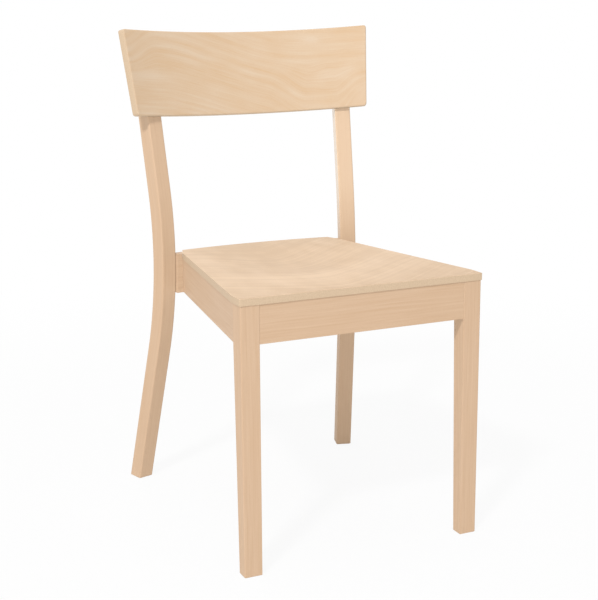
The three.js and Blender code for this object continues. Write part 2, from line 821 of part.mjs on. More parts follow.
// The origin lies on the floor under the middle of the whole chair.
const extent = new THREE.Box3().setFromObject(chair);
for (const mesh of chair.children)
  mesh.geometry.translate(0, -(extent.min.y + extent.max.y) / 2, -extent.min.z);

export default chair;
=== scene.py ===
"""The looks of a choir chair in clear-varnished beech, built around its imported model.

Metres, +Z up, the sitter faces -Y, and right is the +X side. Depth is counted from the front
faces of the front legs towards the back, and a level is a height before the seat frame settles
towards the back.
"""

import logging
import math
from collections.abc import Callable, Iterable, Sequence
from dataclasses import dataclass, field, replace
from enum import Enum
from typing import NamedTuple

import bmesh
import bpy
from mathutils import Matrix, Vector


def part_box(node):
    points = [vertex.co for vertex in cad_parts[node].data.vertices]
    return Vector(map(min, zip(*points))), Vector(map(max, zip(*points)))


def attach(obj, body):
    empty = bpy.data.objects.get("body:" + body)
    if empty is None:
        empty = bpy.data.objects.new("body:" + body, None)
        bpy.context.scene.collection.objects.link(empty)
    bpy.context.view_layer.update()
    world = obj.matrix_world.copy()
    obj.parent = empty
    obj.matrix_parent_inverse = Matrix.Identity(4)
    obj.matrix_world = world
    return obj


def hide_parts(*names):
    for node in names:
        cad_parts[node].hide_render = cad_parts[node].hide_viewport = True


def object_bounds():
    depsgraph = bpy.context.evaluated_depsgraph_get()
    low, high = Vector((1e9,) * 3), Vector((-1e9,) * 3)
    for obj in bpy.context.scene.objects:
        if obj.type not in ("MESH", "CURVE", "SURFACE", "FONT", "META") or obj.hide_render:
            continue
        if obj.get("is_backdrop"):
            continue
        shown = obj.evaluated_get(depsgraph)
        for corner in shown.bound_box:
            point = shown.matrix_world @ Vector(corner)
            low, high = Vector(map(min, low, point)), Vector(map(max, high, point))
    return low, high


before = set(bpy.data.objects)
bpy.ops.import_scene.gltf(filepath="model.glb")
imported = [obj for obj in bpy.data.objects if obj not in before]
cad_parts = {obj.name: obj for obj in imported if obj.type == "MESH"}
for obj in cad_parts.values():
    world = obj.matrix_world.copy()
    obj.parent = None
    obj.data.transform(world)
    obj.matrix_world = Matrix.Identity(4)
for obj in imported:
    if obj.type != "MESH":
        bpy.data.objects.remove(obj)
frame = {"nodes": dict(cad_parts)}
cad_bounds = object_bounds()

log = logging.getLogger("choir_chair")

BODY = "root"
WOOD = "wood_place"  # each point's place in its straight timber: along, across, through
SHEEN = "handled"  # how much painted sheen and extra coat a point gets, 0 to 1
DIRECTION = "direction"  # where the fixing at a point looks
LEAST_RADIUS = 0.0001  # of a round corner that is drawn in
FLANK = 0.0005  # how far past an arris a further point keeps the faces flat
WHITE = (1.0, 1.0, 1.0, 1.0)

Ring = list[Vector]
Outline = list[tuple[float, float]]
Place = Callable[[Vector], Vector]
Colour = tuple[float, float, float, float]


class Side(Enum):
    """The two sides of the chair, by the sign of X."""

    RIGHT = 1
    LEFT = -1

    @property
    def word(self) -> str:
        """The word that ends a piece's name."""
        return self.name.lower()

    def turn(self, point: Vector) -> Vector:
        """A point of the right side, moved to this side."""
        return Vector((point.x * self.value, point.y, point.z))


class Slot(Enum):
    """The material slots of the record."""

    FRAME = "beech_frame"
    SEAT = "beech_seat"
    BACKREST = "beech_backrest"
    RAW = "beech_raw"
    STEEL = "zinc_steel"


class Timber(Enum):
    """Where each timber starts along the wood's pattern, so that no two look the same."""

    LEG_RIGHT = 0.37
    LEG_LEFT = 3.1
    SIDE_RAIL_LEFT = 4.0
    SIDE_RAIL_RIGHT = 6.0
    APRON = 7.3
    REAR_RAIL = 9.1
    POST_LEFT = 10.0
    POST_RIGHT = 14.0


# Meshes


@dataclass
class Draft:
    """The points and faces of a piece while it is drawn."""

    points: list[Vector]
    faces: list[tuple[int, ...]]

    @classmethod
    def skin(cls, rings: Sequence[Ring]) -> "Draft":
        """Draws a closed skin over rings that have the same number of points.

        Args:
            rings: the rings from one end to the other.

        Returns:
            The draft, with a flat face over each end ring.
        """
        size = len(rings[0])
        points = [point for ring in rings for point in ring]
        faces: list[tuple[int, ...]] = [tuple(reversed(range(size)))]
        for start in range(0, len(points) - size, size):
            for k in range(size):
                here, beside = start + k, start + (k + 1) % size
                faces.append((here, beside, beside + size, here + size))
        faces.append(tuple(range(len(points) - size, len(points))))
        return cls(points, faces)

    def on(self, side: Side) -> "Draft":
        """The draft moved to a side of the chair."""
        return Draft([side.turn(point) for point in self.points], list(self.faces))

    def object(self, name: str) -> bpy.types.Object:
        """Makes the piece's object.

        Args:
            name: the piece's name.

        Returns:
            An object at the origin, linked to the scene, with its faces pointing out.
        """
        mesh = bpy.data.meshes.new(name)
        mesh.from_pydata([tuple(point) for point in self.points], [], self.faces)
        turn_faces_out(mesh)
        return linked(bpy.data.objects.new(name, mesh))


def turn_faces_out(mesh: bpy.types.Mesh) -> None:
    """Makes the faces of a closed mesh point outwards."""
    editable = bmesh.new()
    editable.from_mesh(mesh)
    bmesh.ops.recalc_face_normals(editable, faces=editable.faces)
    if editable.calc_volume(signed=True) < 0:
        bmesh.ops.reverse_faces(editable, faces=editable.faces)
    editable.to_mesh(mesh)
    editable.free()


def linked(obj: bpy.types.Object) -> bpy.types.Object:
    """Links an object to the scene and returns it."""
    bpy.context.scene.collection.objects.link(obj)
    return obj


def bake(obj: bpy.types.Object) -> None:
    """Turns an object and its modifiers into a plain mesh."""
    graph = bpy.context.evaluated_depsgraph_get()
    result = bpy.data.meshes.new_from_object(
        obj.evaluated_get(graph), preserve_all_data_layers=True, depsgraph=graph
    )
    result.name = obj.name
    obj.modifiers.clear()
    obj.data = result


def cut(obj: bpy.types.Object, cutters: Iterable[Draft]) -> bpy.types.Object:
    """Takes cutting bodies out of an object.

    Args:
        obj: the object to cut.
        cutters: the bodies to take out, one after the other.

    Returns:
        The object, with the cuts in its mesh.
    """
    tools = [draft.object(f"{obj.name}_cutter") for draft in cutters]
    for tool in tools:
        modifier = obj.modifiers.new("cut", "BOOLEAN")
        modifier.operation = "DIFFERENCE"
        modifier.solver = "EXACT"
        modifier.object = tool
    bake(obj)
    for tool in tools:
        bpy.data.objects.remove(tool)
    return obj


def rounded_rectangle(
    low: tuple[float, float],
    high: tuple[float, float],
    radius: float,
    steps: int = 4,
    first_radius: float | None = None,
) -> Outline:
    """Draws a rectangle with round corners, and a point beyond each arc that keeps its side flat.

    Args:
        low: its lowest corner.
        high: its highest corner.
        radius: of the corners.
        steps: the number of facets in each corner.
        first_radius: of the lowest corner, where it differs.

    Returns:
        The points, counter-clockwise.
    """
    radius = max(radius, LEAST_RADIUS)
    first = radius if first_radius is None else max(first_radius, LEAST_RADIUS)
    corners = [
        (high[0] - radius, low[1] + radius, radius),
        (high[0] - radius, high[1] - radius, radius),
        (low[0] + radius, high[1] - radius, radius),
        (low[0] + first, low[1] + first, first),
    ]
    points = []
    for corner, (x, y, reach) in enumerate(corners):
        for step in range(-1, steps + 2):
            inside = min(max(step, 0), steps)
            angle = math.radians(90 * (corner - 1 + inside / steps))
            sine, cosine = math.sin(angle), math.cos(angle)
            beyond = FLANK * (step - inside)
            points.append((x + reach * cosine - beyond * sine, y + reach * sine + beyond * cosine))
    return points


def rounding(radius: float, steps: int = 4) -> Outline:
    """Gives the rings of a rounded arris, from an end face to the sides.

    Args:
        radius: of the arris.
        steps: the number of facets.

    Returns:
        For each ring, its distance from the end face and how far it is drawn in. The first
        and the last lie past the arris and keep the faces flat.
    """
    rings = [(0.0, radius + FLANK)]
    for step in range(steps + 1):
        angle = math.radians(90 * step / steps)
        rings.append((radius * (1 - math.cos(angle)), radius * (1 - math.sin(angle))))
    rings.append((radius + FLANK, 0.0))
    return rings


def drawn_in(outline: Outline, distance: float) -> Outline:
    """Moves the sides of an outline inwards.

    Args:
        outline: the points, counter-clockwise.
        distance: how far.

    Returns:
        The points where the moved sides meet.
    """
    result = []
    for k, (x, y) in enumerate(outline):
        before = outline[k - 1]
        after = outline[(k + 1) % len(outline)]
        entering = Vector((x - before[0], y - before[1])).normalized()
        leaving = Vector((after[0] - x, after[1] - y)).normalized()
        inward = Vector((-entering.y - leaving.y, entering.x + leaving.x))
        inward *= distance / (1 + entering.dot(leaving))
        result.append((x + inward.x, y + inward.y))
    return result


def circle(radii: Sequence[float], level: float) -> Ring:
    """Points spaced evenly round the Z axis at a level, at these distances from the axis."""
    angles = [math.tau * k / len(radii) for k in range(len(radii))]
    return [Vector((r * math.cos(a), r * math.sin(a), level)) for r, a in zip(radii, angles)]


def cylinder(
    start: Vector, direction: Vector, radius: float, length: float, sides: int = 48
) -> Draft:
    """Draws a round cutting body.

    Args:
        start: the middle of its first end.
        direction: of its axis.
        radius: of the body.
        length: along the axis.
        sides: the number of its sides.

    Returns:
        The draft.
    """
    turn = direction.to_track_quat("Z", "Y")
    ends = [circle([radius] * sides, distance) for distance in (0.0, length)]
    return Draft.skin([[start + turn @ point for point in ring] for ring in ends])


# Node trees


@dataclass(frozen=True)
class Wire:
    """What flows out of a node, with the usual signs to reckon with it."""

    pad: "NodePad"
    socket: bpy.types.NodeSocket

    def __add__(self, other: "Source") -> "Wire":
        """This and another, added."""
        return self.pad.math("ADD", self, other)

    def __radd__(self, other: "Source") -> "Wire":
        """Another and this, added."""
        return self.pad.math("ADD", other, self)

    def __sub__(self, other: "Source") -> "Wire":
        """This, less another."""
        return self.pad.math("SUBTRACT", self, other)

    def __rsub__(self, other: "Source") -> "Wire":
        """Another, less this."""
        return self.pad.math("SUBTRACT", other, self)

    def __mul__(self, other: "Source") -> "Wire":
        """This times another."""
        return self.pad.math("MULTIPLY", self, other)

    def __truediv__(self, other: "Source") -> "Wire":
        """This, divided by another."""
        return self.pad.math("DIVIDE", self, other)

    def clamped(self) -> "Wire":
        """This, kept between 0 and 1."""
        return self.pad.math("ADD", self, 0.0, clamp=True)


Source = Wire | float | int | str | tuple[float, ...]


class Fade(NamedTuple):
    """A smooth change from one amount to another, between two places."""

    start: float
    end: float
    low: float = 0.0
    high: float = 1.0


class NodePad:
    """A node tree that is being drawn, with short calls for the nodes that it uses."""

    def __init__(self, tree: bpy.types.NodeTree) -> None:
        """Takes the tree to draw in."""
        self.tree = tree

    def put(
        self, kind: str, inputs: dict[str | int, Source] | None = None, **settings: object
    ) -> bpy.types.Node:
        """Adds a node.

        Args:
            kind: the node's type.
            inputs: what feeds its sockets, a wire or a constant each.
            settings: the node's own settings.

        Returns:
            The node.
        """
        node = self.tree.nodes.new(kind)
        for name, value in settings.items():
            setattr(node, name, value)
        for key, value in (inputs or {}).items():
            if isinstance(value, Wire):
                self.tree.links.new(value.socket, node.inputs[key])
            else:
                node.inputs[key].default_value = value
        return node

    def out(
        self,
        kind: str,
        inputs: dict[str | int, Source] | None = None,
        output: str | int = 0,
        **settings: object,
    ) -> Wire:
        """Adds a node, as put does, and returns what flows out of one of its sockets."""
        return Wire(self, self.put(kind, inputs, **settings).outputs[output])

    def wires(self, node: bpy.types.Node) -> dict[str, Wire]:
        """What flows out of a node, by the names of its outputs."""
        return {socket.name: Wire(self, socket) for socket in node.outputs}

    def math(self, operation: str, *values: Source, clamp: bool = False) -> Wire:
        """Adds a Math node."""
        inputs = dict(enumerate(values))
        return self.out("ShaderNodeMath", inputs, operation=operation, use_clamp=clamp)

    def scaled(self, vector: Source, factors: tuple[float, float, float]) -> Wire:
        """Multiplies a vector by a factor on each axis."""
        return self.out("ShaderNodeVectorMath", {0: vector, 1: factors}, operation="MULTIPLY")

    def parts(self, vector: Source) -> tuple[Wire, ...]:
        """Splits a vector into its three numbers."""
        return tuple(self.wires(self.put("ShaderNodeSeparateXYZ", {0: vector})).values())

    def joined(self, x: Source, y: Source, z: Source) -> Wire:
        """Joins three numbers to a vector."""
        return self.out("ShaderNodeCombineXYZ", {0: x, 1: y, 2: z})

    def noise(self, vector: Source, detail: float = 2.0, roughness: float = 0.5) -> Wire:
        """Adds fractal noise that changes once per unit of the vector, from about -1 to 1."""
        return self.out(
            "ShaderNodeTexNoise",
            {"Vector": vector, "Scale": 1.0, "Detail": detail, "Roughness": roughness},
            normalize=False,
        )

    def flecks(self, vector: Source, fade: Fade) -> Wire:
        """Scatters flecks, about one per unit of the vector, that fade with their distance."""
        cells = {"Vector": vector, "Scale": 1.0}
        return self.span(self.out("ShaderNodeTexVoronoi", cells, output="Distance"), *fade)

    def span(
        self, value: Source, start: Source, end: Source, low: Source = 0.0, high: Source = 1.0
    ) -> Wire:
        """Maps a value smoothly from one span to another."""
        return self.out(
            "ShaderNodeMapRange",
            {"Value": value, "From Min": start, "From Max": end, "To Min": low, "To Max": high},
            interpolation_type="SMOOTHSTEP",
        )

    def mound(self, value: Wire, middle: float, reach: float) -> Wire:
        """Gives 1 where a value is at the middle, fading smoothly to 0 past its reach."""
        away = (value - middle) / reach
        return self.math("EXPONENT", away * away * -1.0)

    def ripple(self, value: Wire, length: float, height: float) -> Wire:
        """Gives a wave of this length and height along a value."""
        return self.math("SINE", value * (math.tau / length)) * height

    def mixed(self, share: Source, first: Source, second: Source) -> Wire:
        """Mixes two colours."""
        inputs = {0: share, 6: first, 7: second}
        return self.out("ShaderNodeMix", inputs, output=2, data_type="RGBA")

    def ended(self, shape: Wire, finish: Wire) -> bpy.types.NodeTree:
        """Ends a geometry node tree.

        Args:
            shape: the geometry that the tree has made.
            finish: the material that it wears.

        Returns:
            The tree.
        """
        plain = self.out("GeometryNodeRealizeInstances", {0: shape})
        sheen_mask = self.out("GeometryNodeSetMaterial", {"Geometry": plain, "Material": finish})
        self.put("NodeGroupOutput", {0: sheen_mask})
        return self.tree


def add_socket(
    tree: bpy.types.NodeTree, name: str, in_out: str, kind: str
) -> bpy.types.NodeTreeInterfaceSocket:
    """Adds a named input or output to a tree, of a kind such as Float or Vector."""
    return tree.interface.new_socket(name=name, in_out=in_out, socket_type=f"NodeSocket{kind}")


def geometry_tree(name: str, kinds: dict[str, str]) -> tuple[NodePad, dict[str, Wire]]:
    """Starts a geometry node tree.

    Args:
        name: of the tree.
        kinds: the kind of each of its inputs, by the input's name.

    Returns:
        The pad to draw it, and what its inputs give.
    """
    pad = NodePad(bpy.data.node_groups.new(name, "GeometryNodeTree"))
    for input_name, kind in kinds.items():
        add_socket(pad.tree, input_name, "INPUT", kind)
    add_socket(pad.tree, "Piece", "OUTPUT", "Geometry")
    return pad, pad.wires(pad.put("NodeGroupInput"))


def run_tree(obj: bpy.types.Object, tree: bpy.types.NodeTree, values: dict[str, object]) -> None:
    """Runs a geometry node tree on an object and bakes the result into its mesh.

    Args:
        obj: the object that the tree starts from.
        tree: the node tree.
        values: the values of its inputs, by name.
    """
    modifier = obj.modifiers.new(tree.name, "NODES")
    modifier.node_group = tree
    for item in tree.interface.items_tree:
        if item.in_out == "INPUT" and item.name in values:
            modifier[item.identifier] = values[item.name]
    bake(obj)


class Pattern:
    """A shader node group that materials share. It is drawn once and placed with values."""

    name: str = ""
    inputs: dict[str, Source] = {}
    outputs: tuple[str, ...] = ()

    def draw(self, pad: NodePad, given: dict[str, Wire]) -> dict[str, Source]:
        """Draws the nodes between the group's inputs and outputs.

        Args:
            pad: the group's tree.
            given: what the group's inputs give, by name.

        Returns:
            The source of each output.
        """
        raise NotImplementedError

    def tree(self) -> bpy.types.NodeTree:
        """Gives the group's tree, drawn at the first call."""
        known = bpy.data.node_groups.get(self.name)
        if known:
            return known
        tree = bpy.data.node_groups.new(self.name, "ShaderNodeTree")
        for name, value in self.inputs.items():
            kind = "Vector" if isinstance(value, tuple) else "Float"
            add_socket(tree, name, "INPUT", kind).default_value = value
        for name in self.outputs:
            add_socket(tree, name, "OUTPUT", "Float")
        pad = NodePad(tree)
        given = pad.wires(pad.put("NodeGroupInput"))
        pad.put("NodeGroupOutput", self.draw(pad, given))
        return tree

    def place(self, pad: NodePad, **values: Source) -> dict[str, Wire]:
        """Places the group in a material.

        Args:
            pad: the material's tree.
            values: what feeds the group's inputs, with underscores for spaces.

        Returns:
            What flows out of the group, by name.
        """
        inputs = {name.replace("_", " "): value for name, value in values.items()}
        return pad.wires(pad.put("ShaderNodeGroup", inputs, node_tree=self.tree()))


class Figure(Pattern):
    """What every cut of the wood shows.

    A figure's turns are how often a noise changes in a metre, along each of the wood's axes.
    """

    outputs = ("tone", "fleck", "height")
    relief = 0.5

    def shown(
        self, given: dict[str, Wire], bands: Wire, lines: Wire, cloud: Wire, fleck: Wire
    ) -> dict[str, Source]:
        """Adds up the figure.

        Args:
            given: what the group's inputs give.
            bands: the broad bands.
            lines: the fine lines.
            cloud: the slow drift of the tone.
            fleck: 1 on a fleck.

        Returns:
            The source of each output.
        """
        tone = 0.5 + bands * given["band depth"] + lines * given["line depth"]
        tone = tone + cloud * given["cloud depth"]
        height = lines * self.relief - fleck * self.relief
        return {"tone": tone.clamped(), "fleck": fleck, "height": height}


class BeechGrain(Figure):
    """The grain of solid beech: growth rings cut lengthwise, fine pores and short flecks."""

    name = "beech_grain"
    inputs = {
        "wood": (0.0, 0.0, 0.0),
        "ring width": 0.003,
        "band depth": 0.5,
        "line depth": 0.5,
        "cloud depth": 0.12,
    }
    pith_across = 0.09
    pith_through = 0.05
    wander_turns = (3.0, 16.0, 16.0)
    wander_reach = 0.0035
    band_turns = 5.0
    line_turns = (14.0, 480.0, 480.0)
    cloud_turns = (2.6, 22.0, 22.0)
    fleck_turns = (190.0, 950.0, 950.0)
    fleck_fade = Fade(0.34, 0.12)

    def draw(self, pad: NodePad, given: dict[str, Wire]) -> dict[str, Source]:
        """Draws the rings, bands, pores and flecks; see the base class."""
        wood = given["wood"]
        along, across, through = pad.parts(wood)
        wander = pad.noise(pad.scaled(wood, self.wander_turns), detail=3.0)
        beside, behind = across + self.pith_across, through + self.pith_through
        radius = pad.math("SQRT", beside * beside + behind * behind) + wander * self.wander_reach
        ring_place = pad.joined(along * self.band_turns, radius / given["ring width"], 0.0)
        bands = pad.noise(ring_place, roughness=0.6)
        lines = pad.noise(pad.scaled(wood, self.line_turns), detail=3.0, roughness=0.6)
        cloud = pad.noise(pad.scaled(wood, self.cloud_turns), detail=1.0)
        fleck = pad.flecks(pad.scaled(wood, self.fleck_turns), self.fleck_fade)
        return self.shown(given, bands, lines, cloud, fleck)


class VeneerFigure(Figure):
    """The figure of cut veneer: bands that follow the contours of a field, in metres."""

    name = "veneer_figure"
    inputs = {
        "wood": (0.0, 0.0, 0.0),
        "contour": 0.0,
        "band width": 0.012,
        "band depth": 0.5,
        "line depth": 0.4,
        "cloud depth": 0.3,
    }
    wander_turns = (9.0, 9.0, 9.0)
    wander_reach = 0.0035
    band_turns = 1.5
    line_turns = 14.0
    lines_in_band = 9.0
    cloud_turns = (12.0, 24.0, 24.0)
    fleck_turns = (210.0, 800.0, 800.0)
    fleck_fade = Fade(0.36, 0.14)

    def draw(self, pad: NodePad, given: dict[str, Wire]) -> dict[str, Source]:
        """Draws bands, fine lines, clouds and flecks; see the base class."""
        wood = given["wood"]
        along, across, _ = pad.parts(wood)
        wander = pad.noise(pad.scaled(wood, self.wander_turns))
        count = (given["contour"] + wander * self.wander_reach) / given["band width"]
        band_place = pad.joined(along * self.band_turns, count, across * self.band_turns)
        line_place = pad.joined(along * self.line_turns, count * self.lines_in_band, 0.0)
        bands = pad.noise(band_place, roughness=0.55)
        lines = pad.noise(line_place, roughness=0.6)
        cloud = pad.noise(pad.scaled(wood, self.cloud_turns))
        fleck = pad.flecks(pad.scaled(wood, self.fleck_turns), self.fleck_fade)
        return self.shown(given, bands, lines, cloud, fleck)


class SeatContour(Pattern):
    """Arches of the veneer that open towards the back of the seat, with painted light and shade of
    the hollow: a painted highlight along its rim, painted shade within it and along the front edge,
    painted light on the left side and painted shade at the right front.
    """

    name = "seat_contour"
    inputs = {"wood": (0.0, 0.0, 0.0)}
    outputs = ("contour", "shade")
    crown_left = 0.03
    right_slope = 0.75
    left_slope = 0.5
    crown_round = 0.0006
    front_half = 0.2228
    narrowing = 0.152
    rim_start = Fade(0.01, 0.065, 0.0, 0.26)
    rim_end = Fade(0.075, 0.125, 0.0, 0.416)
    front_edge = Fade(-0.02, 0.06, -0.42, 0.0)
    well_middle = -0.035
    well_reach = 0.075
    well_depth = Fade(0.16, 0.24, 0.0, -0.26)
    left_edge = Fade(0.05, 0.0)
    left_middle = Fade(0.15, 0.20, 0.0, 0.2)
    left_rear = Fade(0.33, 0.39, 0.0, 0.25)
    right_side = Fade(0.07, 0.13)
    right_front = Fade(0.20, 0.12, 0.0, -0.16)

    def draw(self, pad: NodePad, given: dict[str, Wire]) -> dict[str, Source]:
        """Draws the arches' field and the painted light and shade of the hollow; see the base
        class.
        """
        depth, across, _ = pad.parts(given["wood"])
        beside = across + self.crown_left
        right = pad.math("MAXIMUM", beside, 0.0) * self.right_slope
        left = pad.math("MINIMUM", beside, 0.0) * self.left_slope
        slope = right + left
        contour = depth - pad.math("SQRT", slope * slope + self.crown_round)
        # painted highlight along the hollow's rim, which falls to painted shade further in
        rim = pad.span(contour, *self.rim_start) - pad.span(contour, *self.rim_end)
        # painted shade along the front edge
        front = pad.span(depth, *self.front_edge)
        # painted shade deep in the hollow
        well_shade = pad.mound(across, self.well_middle, self.well_reach)
        well_shade = well_shade * pad.span(depth, *self.well_depth)
        # painted light along the left side
        from_left = across + (self.front_half - depth * self.narrowing)
        left_light_amount = pad.span(depth, *self.left_middle) + pad.span(depth, *self.left_rear)
        left_light = pad.span(from_left, *self.left_edge) * left_light_amount
        # painted shade at the right front
        right_side = pad.span(across, *self.right_side) * pad.span(depth, *self.right_front)
        return {"contour": contour, "shade": rim + front + well_shade + left_light + right_side}


class Band(NamedTuple):
    """A band of the figure: its level, half its width, and how much paler it is than the wood."""

    level: float
    reach: float
    paler: float


class BackrestContour(Pattern):
    """Long waves that crest near the left end and sink towards the right, where they level off.

    A few bands stand out, and evenly spaced ones lie below and above them.
    """

    name = "backrest_contour"
    inputs = {"wood": (0.0, 0.0, 0.0)}
    outputs = ("contour", "shade")
    sinking = Fade(-0.175, 0.125, 0.0, 0.073)
    fan_along, fan_rise = Fade(0.04, 0.12), Fade(0.10, 0.03, 0.0, 0.030)
    crest_along, crest_rise = Fade(-0.165, -0.235), Fade(0.055, 0.11, -0.003, 0.032)
    corner_along, corner_rise = Fade(0.17, 0.235), Fade(0.09, 0.01, 0.0, -0.06)
    knot_along, knot_rise = (0.13, 0.014), (0.134, 0.006)
    knot_swell = 0.005
    knot_paler = 0.4
    wander_turns = (9.0, 12.0, 0.0)
    wander_reach = 0.003
    bands = (
        Band(0.058, 0.003, -0.20),
        Band(0.067, 0.006, 0.18),
        Band(0.092, 0.006, -0.28),
        Band(0.118, 0.006, -0.32),
        Band(0.127, 0.004, 0.28),
        Band(0.139, 0.004, -0.28),
    )
    low_wave, low_reach = (0.0115, 0.15), Fade(0.056, 0.050)
    high_wave, high_reach = (0.0160, 0.15), Fade(0.143, 0.150)
    strength = 0.75
    strength_turns = (11.0, 22.0, 0.0)
    right_weaker = Fade(0.09, 0.14, 1.0, 0.7)

    def draw(self, pad: NodePad, given: dict[str, Wire]) -> dict[str, Source]:
        """Draws the waves' field, their bands and a pale knot; see the base class."""
        wood = given["wood"]
        along, rise, _ = pad.parts(wood)
        knot = pad.mound(along, *self.knot_along) * pad.mound(rise, *self.knot_rise)
        contour = (
            rise
            + pad.span(along, *self.sinking)
            + pad.span(along, *self.fan_along) * pad.span(rise, *self.fan_rise)
            + pad.span(along, *self.crest_along) * pad.span(rise, *self.crest_rise)
            + pad.span(along, *self.corner_along) * pad.span(rise, *self.corner_rise)
            + knot * self.knot_swell
        )
        around = contour + pad.noise(pad.scaled(wood, self.wander_turns)) * self.wander_reach
        figure = pad.ripple(around, *self.low_wave) * pad.span(around, *self.low_reach)
        figure += pad.ripple(around, *self.high_wave) * pad.span(around, *self.high_reach)
        for band in self.bands:
            figure += pad.mound(around, band.level, band.reach) * band.paler
        fading = pad.noise(pad.scaled(wood, self.strength_turns), detail=1.0)
        strength = (self.strength + fading).clamped() * pad.span(along, *self.right_weaker)
        return {"contour": contour, "shade": figure * strength + knot * self.knot_paler}


class PlyEdge(Pattern):
    """The cut edge of plywood under its face veneers: thin plies with a fine, even speckle."""

    name = "ply_edge"
    inputs = {"wood": (0.0, 0.0, 0.0), "thickness": 0.012, "veneer": 0.0008, "ply": 0.0014}
    outputs = ("share", "tone")
    veneer_start = 0.6
    speckle_turns = (560.0, 560.0, 420.0)
    speckle_depth = 0.7
    ply_depth = 0.25

    def draw(self, pad: NodePad, given: dict[str, Wire]) -> dict[str, Source]:
        """Draws where the edge lies and its speckle; see the base class."""
        wood, veneer = given["wood"], given["veneer"]
        _, _, under = pad.parts(wood)
        inside = pad.math("MINIMUM", under, given["thickness"] - under)
        plies = pad.noise(pad.joined(0.0, 0.0, under / given["ply"]), detail=1.0)
        speckle = pad.noise(pad.scaled(wood, self.speckle_turns), detail=3.0, roughness=0.7)
        tone = 0.5 + speckle * self.speckle_depth + plies * self.ply_depth
        share = pad.span(inside, veneer * self.veneer_start, veneer)
        return {"share": share, "tone": tone.clamped()}


class VarnishFilm(Pattern):
    """A thin satin varnish: its sheen drifts a little and its film is faintly uneven."""

    name = "varnish_film"
    inputs = {"wood": (0.0, 0.0, 0.0), "roughness": 0.4, "drift": 0.05}
    outputs = ("roughness", "height")
    drift_turns = (12.0, 30.0, 30.0)
    film_turns = (180.0, 260.0, 260.0)

    def draw(self, pad: NodePad, given: dict[str, Wire]) -> dict[str, Source]:
        """Draws the drift and the film; see the base class."""
        slow = pad.noise(pad.scaled(given["wood"], self.drift_turns), detail=3.0)
        film = pad.noise(pad.scaled(given["wood"], self.film_turns), detail=1.0)
        return {"roughness": given["roughness"] + slow * given["drift"], "height": film}


# Finishes


def paint(red: int, green: int, blue: int) -> Colour:
    """A colour as a painter reads it, 0 to 255, turned into the renderer's linear light."""

    def linear(value: int) -> float:
        """One channel of the colour in linear light."""
        share = value / 255
        return share / 12.92 if share <= 0.04045 else ((share + 0.055) / 1.055) ** 2.4

    return (linear(red), linear(green), linear(blue), 1.0)


def blank_material(name: str) -> tuple[bpy.types.Material, NodePad]:
    """Makes a material without nodes, and the pad to draw it."""
    material = bpy.data.materials.new(name)
    material.use_nodes = True
    material.node_tree.nodes.clear()
    return material, NodePad(material.node_tree)


@dataclass(frozen=True)
class BeechFinish:
    """Beech, varnished or raw, whose pattern follows the timber."""

    name: str
    pale: Colour = paint(225, 193, 162)
    deep: Colour = paint(215, 180, 146)
    fleck: Colour = paint(196, 158, 122)
    fleck_share: float = 0.12
    edge_pale: Colour = paint(224, 198, 168)
    edge_deep: Colour = paint(213, 187, 156)
    passed_on: Colour = paint(226, 221, 215)
    roughness: float = 0.58
    ior: float = 1.3
    # where the mask is high, the colour is mixed towards a near-white painted sheen that stands in
    # for a bright grazing reflection, and the coat grows
    handled: bool = False
    polish: Colour = paint(250, 222, 190)
    polish_share: float = 0.9
    coat: float = 0.1
    coat_roughness: float = 0.12
    grain: type[Figure] = BeechGrain
    contour: type[Pattern] | None = None
    band_depth: float = 0.42
    line_depth: float = 0.25
    cloud_depth: float = 0.12
    ply_thickness: float = 0.0
    by_object: bool = False
    grain_relief: float = 0.6
    film_relief: float = 0.4
    relief_strength: float = 0.12
    relief_height: float = 0.0004

    def material(self) -> bpy.types.Material:
        """Draws the material and returns it."""
        material, pad = blank_material(self.name)
        if self.by_object:
            wood = pad.out("ShaderNodeTexCoord", output="Object")
        else:
            wood = pad.out("ShaderNodeAttribute", output="Vector", attribute_name=WOOD)
        values: dict[str, Source] = {
            "wood": wood,
            "band_depth": self.band_depth,
            "line_depth": self.line_depth,
            "cloud_depth": self.cloud_depth,
        }
        shade: Source = 0.0
        if self.contour:
            flow = self.contour().place(pad, wood=wood)
            values["contour"], shade = flow["contour"], flow["shade"]
        grain = self.grain().place(pad, **values)
        film = VarnishFilm().place(pad, wood=wood, roughness=self.roughness)
        # the contour's tone shift: the veneer's figure on the backrest, painted light and shade of
        # the hollow on the seat
        timber = pad.mixed((grain["tone"] + shade).clamped(), self.deep, self.pale)
        colour = pad.mixed(grain["fleck"] * self.fleck_share, timber, self.fleck)
        if self.ply_thickness:
            edge = PlyEdge().place(pad, wood=wood, thickness=self.ply_thickness)
            plies = pad.mixed(edge["tone"], self.edge_deep, self.edge_pale)
            colour = pad.mixed(edge["share"], colour, plies)
        coat: Source = self.coat
        if self.handled:
            # painted sheen: the colour is mixed towards near-white, and the coat is thicker
            sheen_mask = pad.out("ShaderNodeAttribute", output="Fac", attribute_name=SHEEN)
            colour = pad.mixed(sheen_mask * self.polish_share, colour, self.polish)
            coat = (sheen_mask + coat).clamped()
        passing = pad.out("ShaderNodeLightPath", output="Is Diffuse Ray")
        colour = pad.mixed(passing, colour, self.passed_on)
        height = grain["height"] * self.grain_relief + film["height"] * self.film_relief
        relief = {
            "Strength": self.relief_strength,
            "Distance": self.relief_height,
            "Height": height,
        }
        shader = pad.out(
            "ShaderNodeBsdfPrincipled",
            {
                "Base Color": colour,
                "Roughness": film["roughness"],
                "IOR": self.ior,
                "Coat Weight": coat,
                "Coat Roughness": self.coat_roughness,
                "Normal": pad.out("ShaderNodeBump", relief),
            },
        )
        pad.put("ShaderNodeOutputMaterial", {0: shader})
        return material


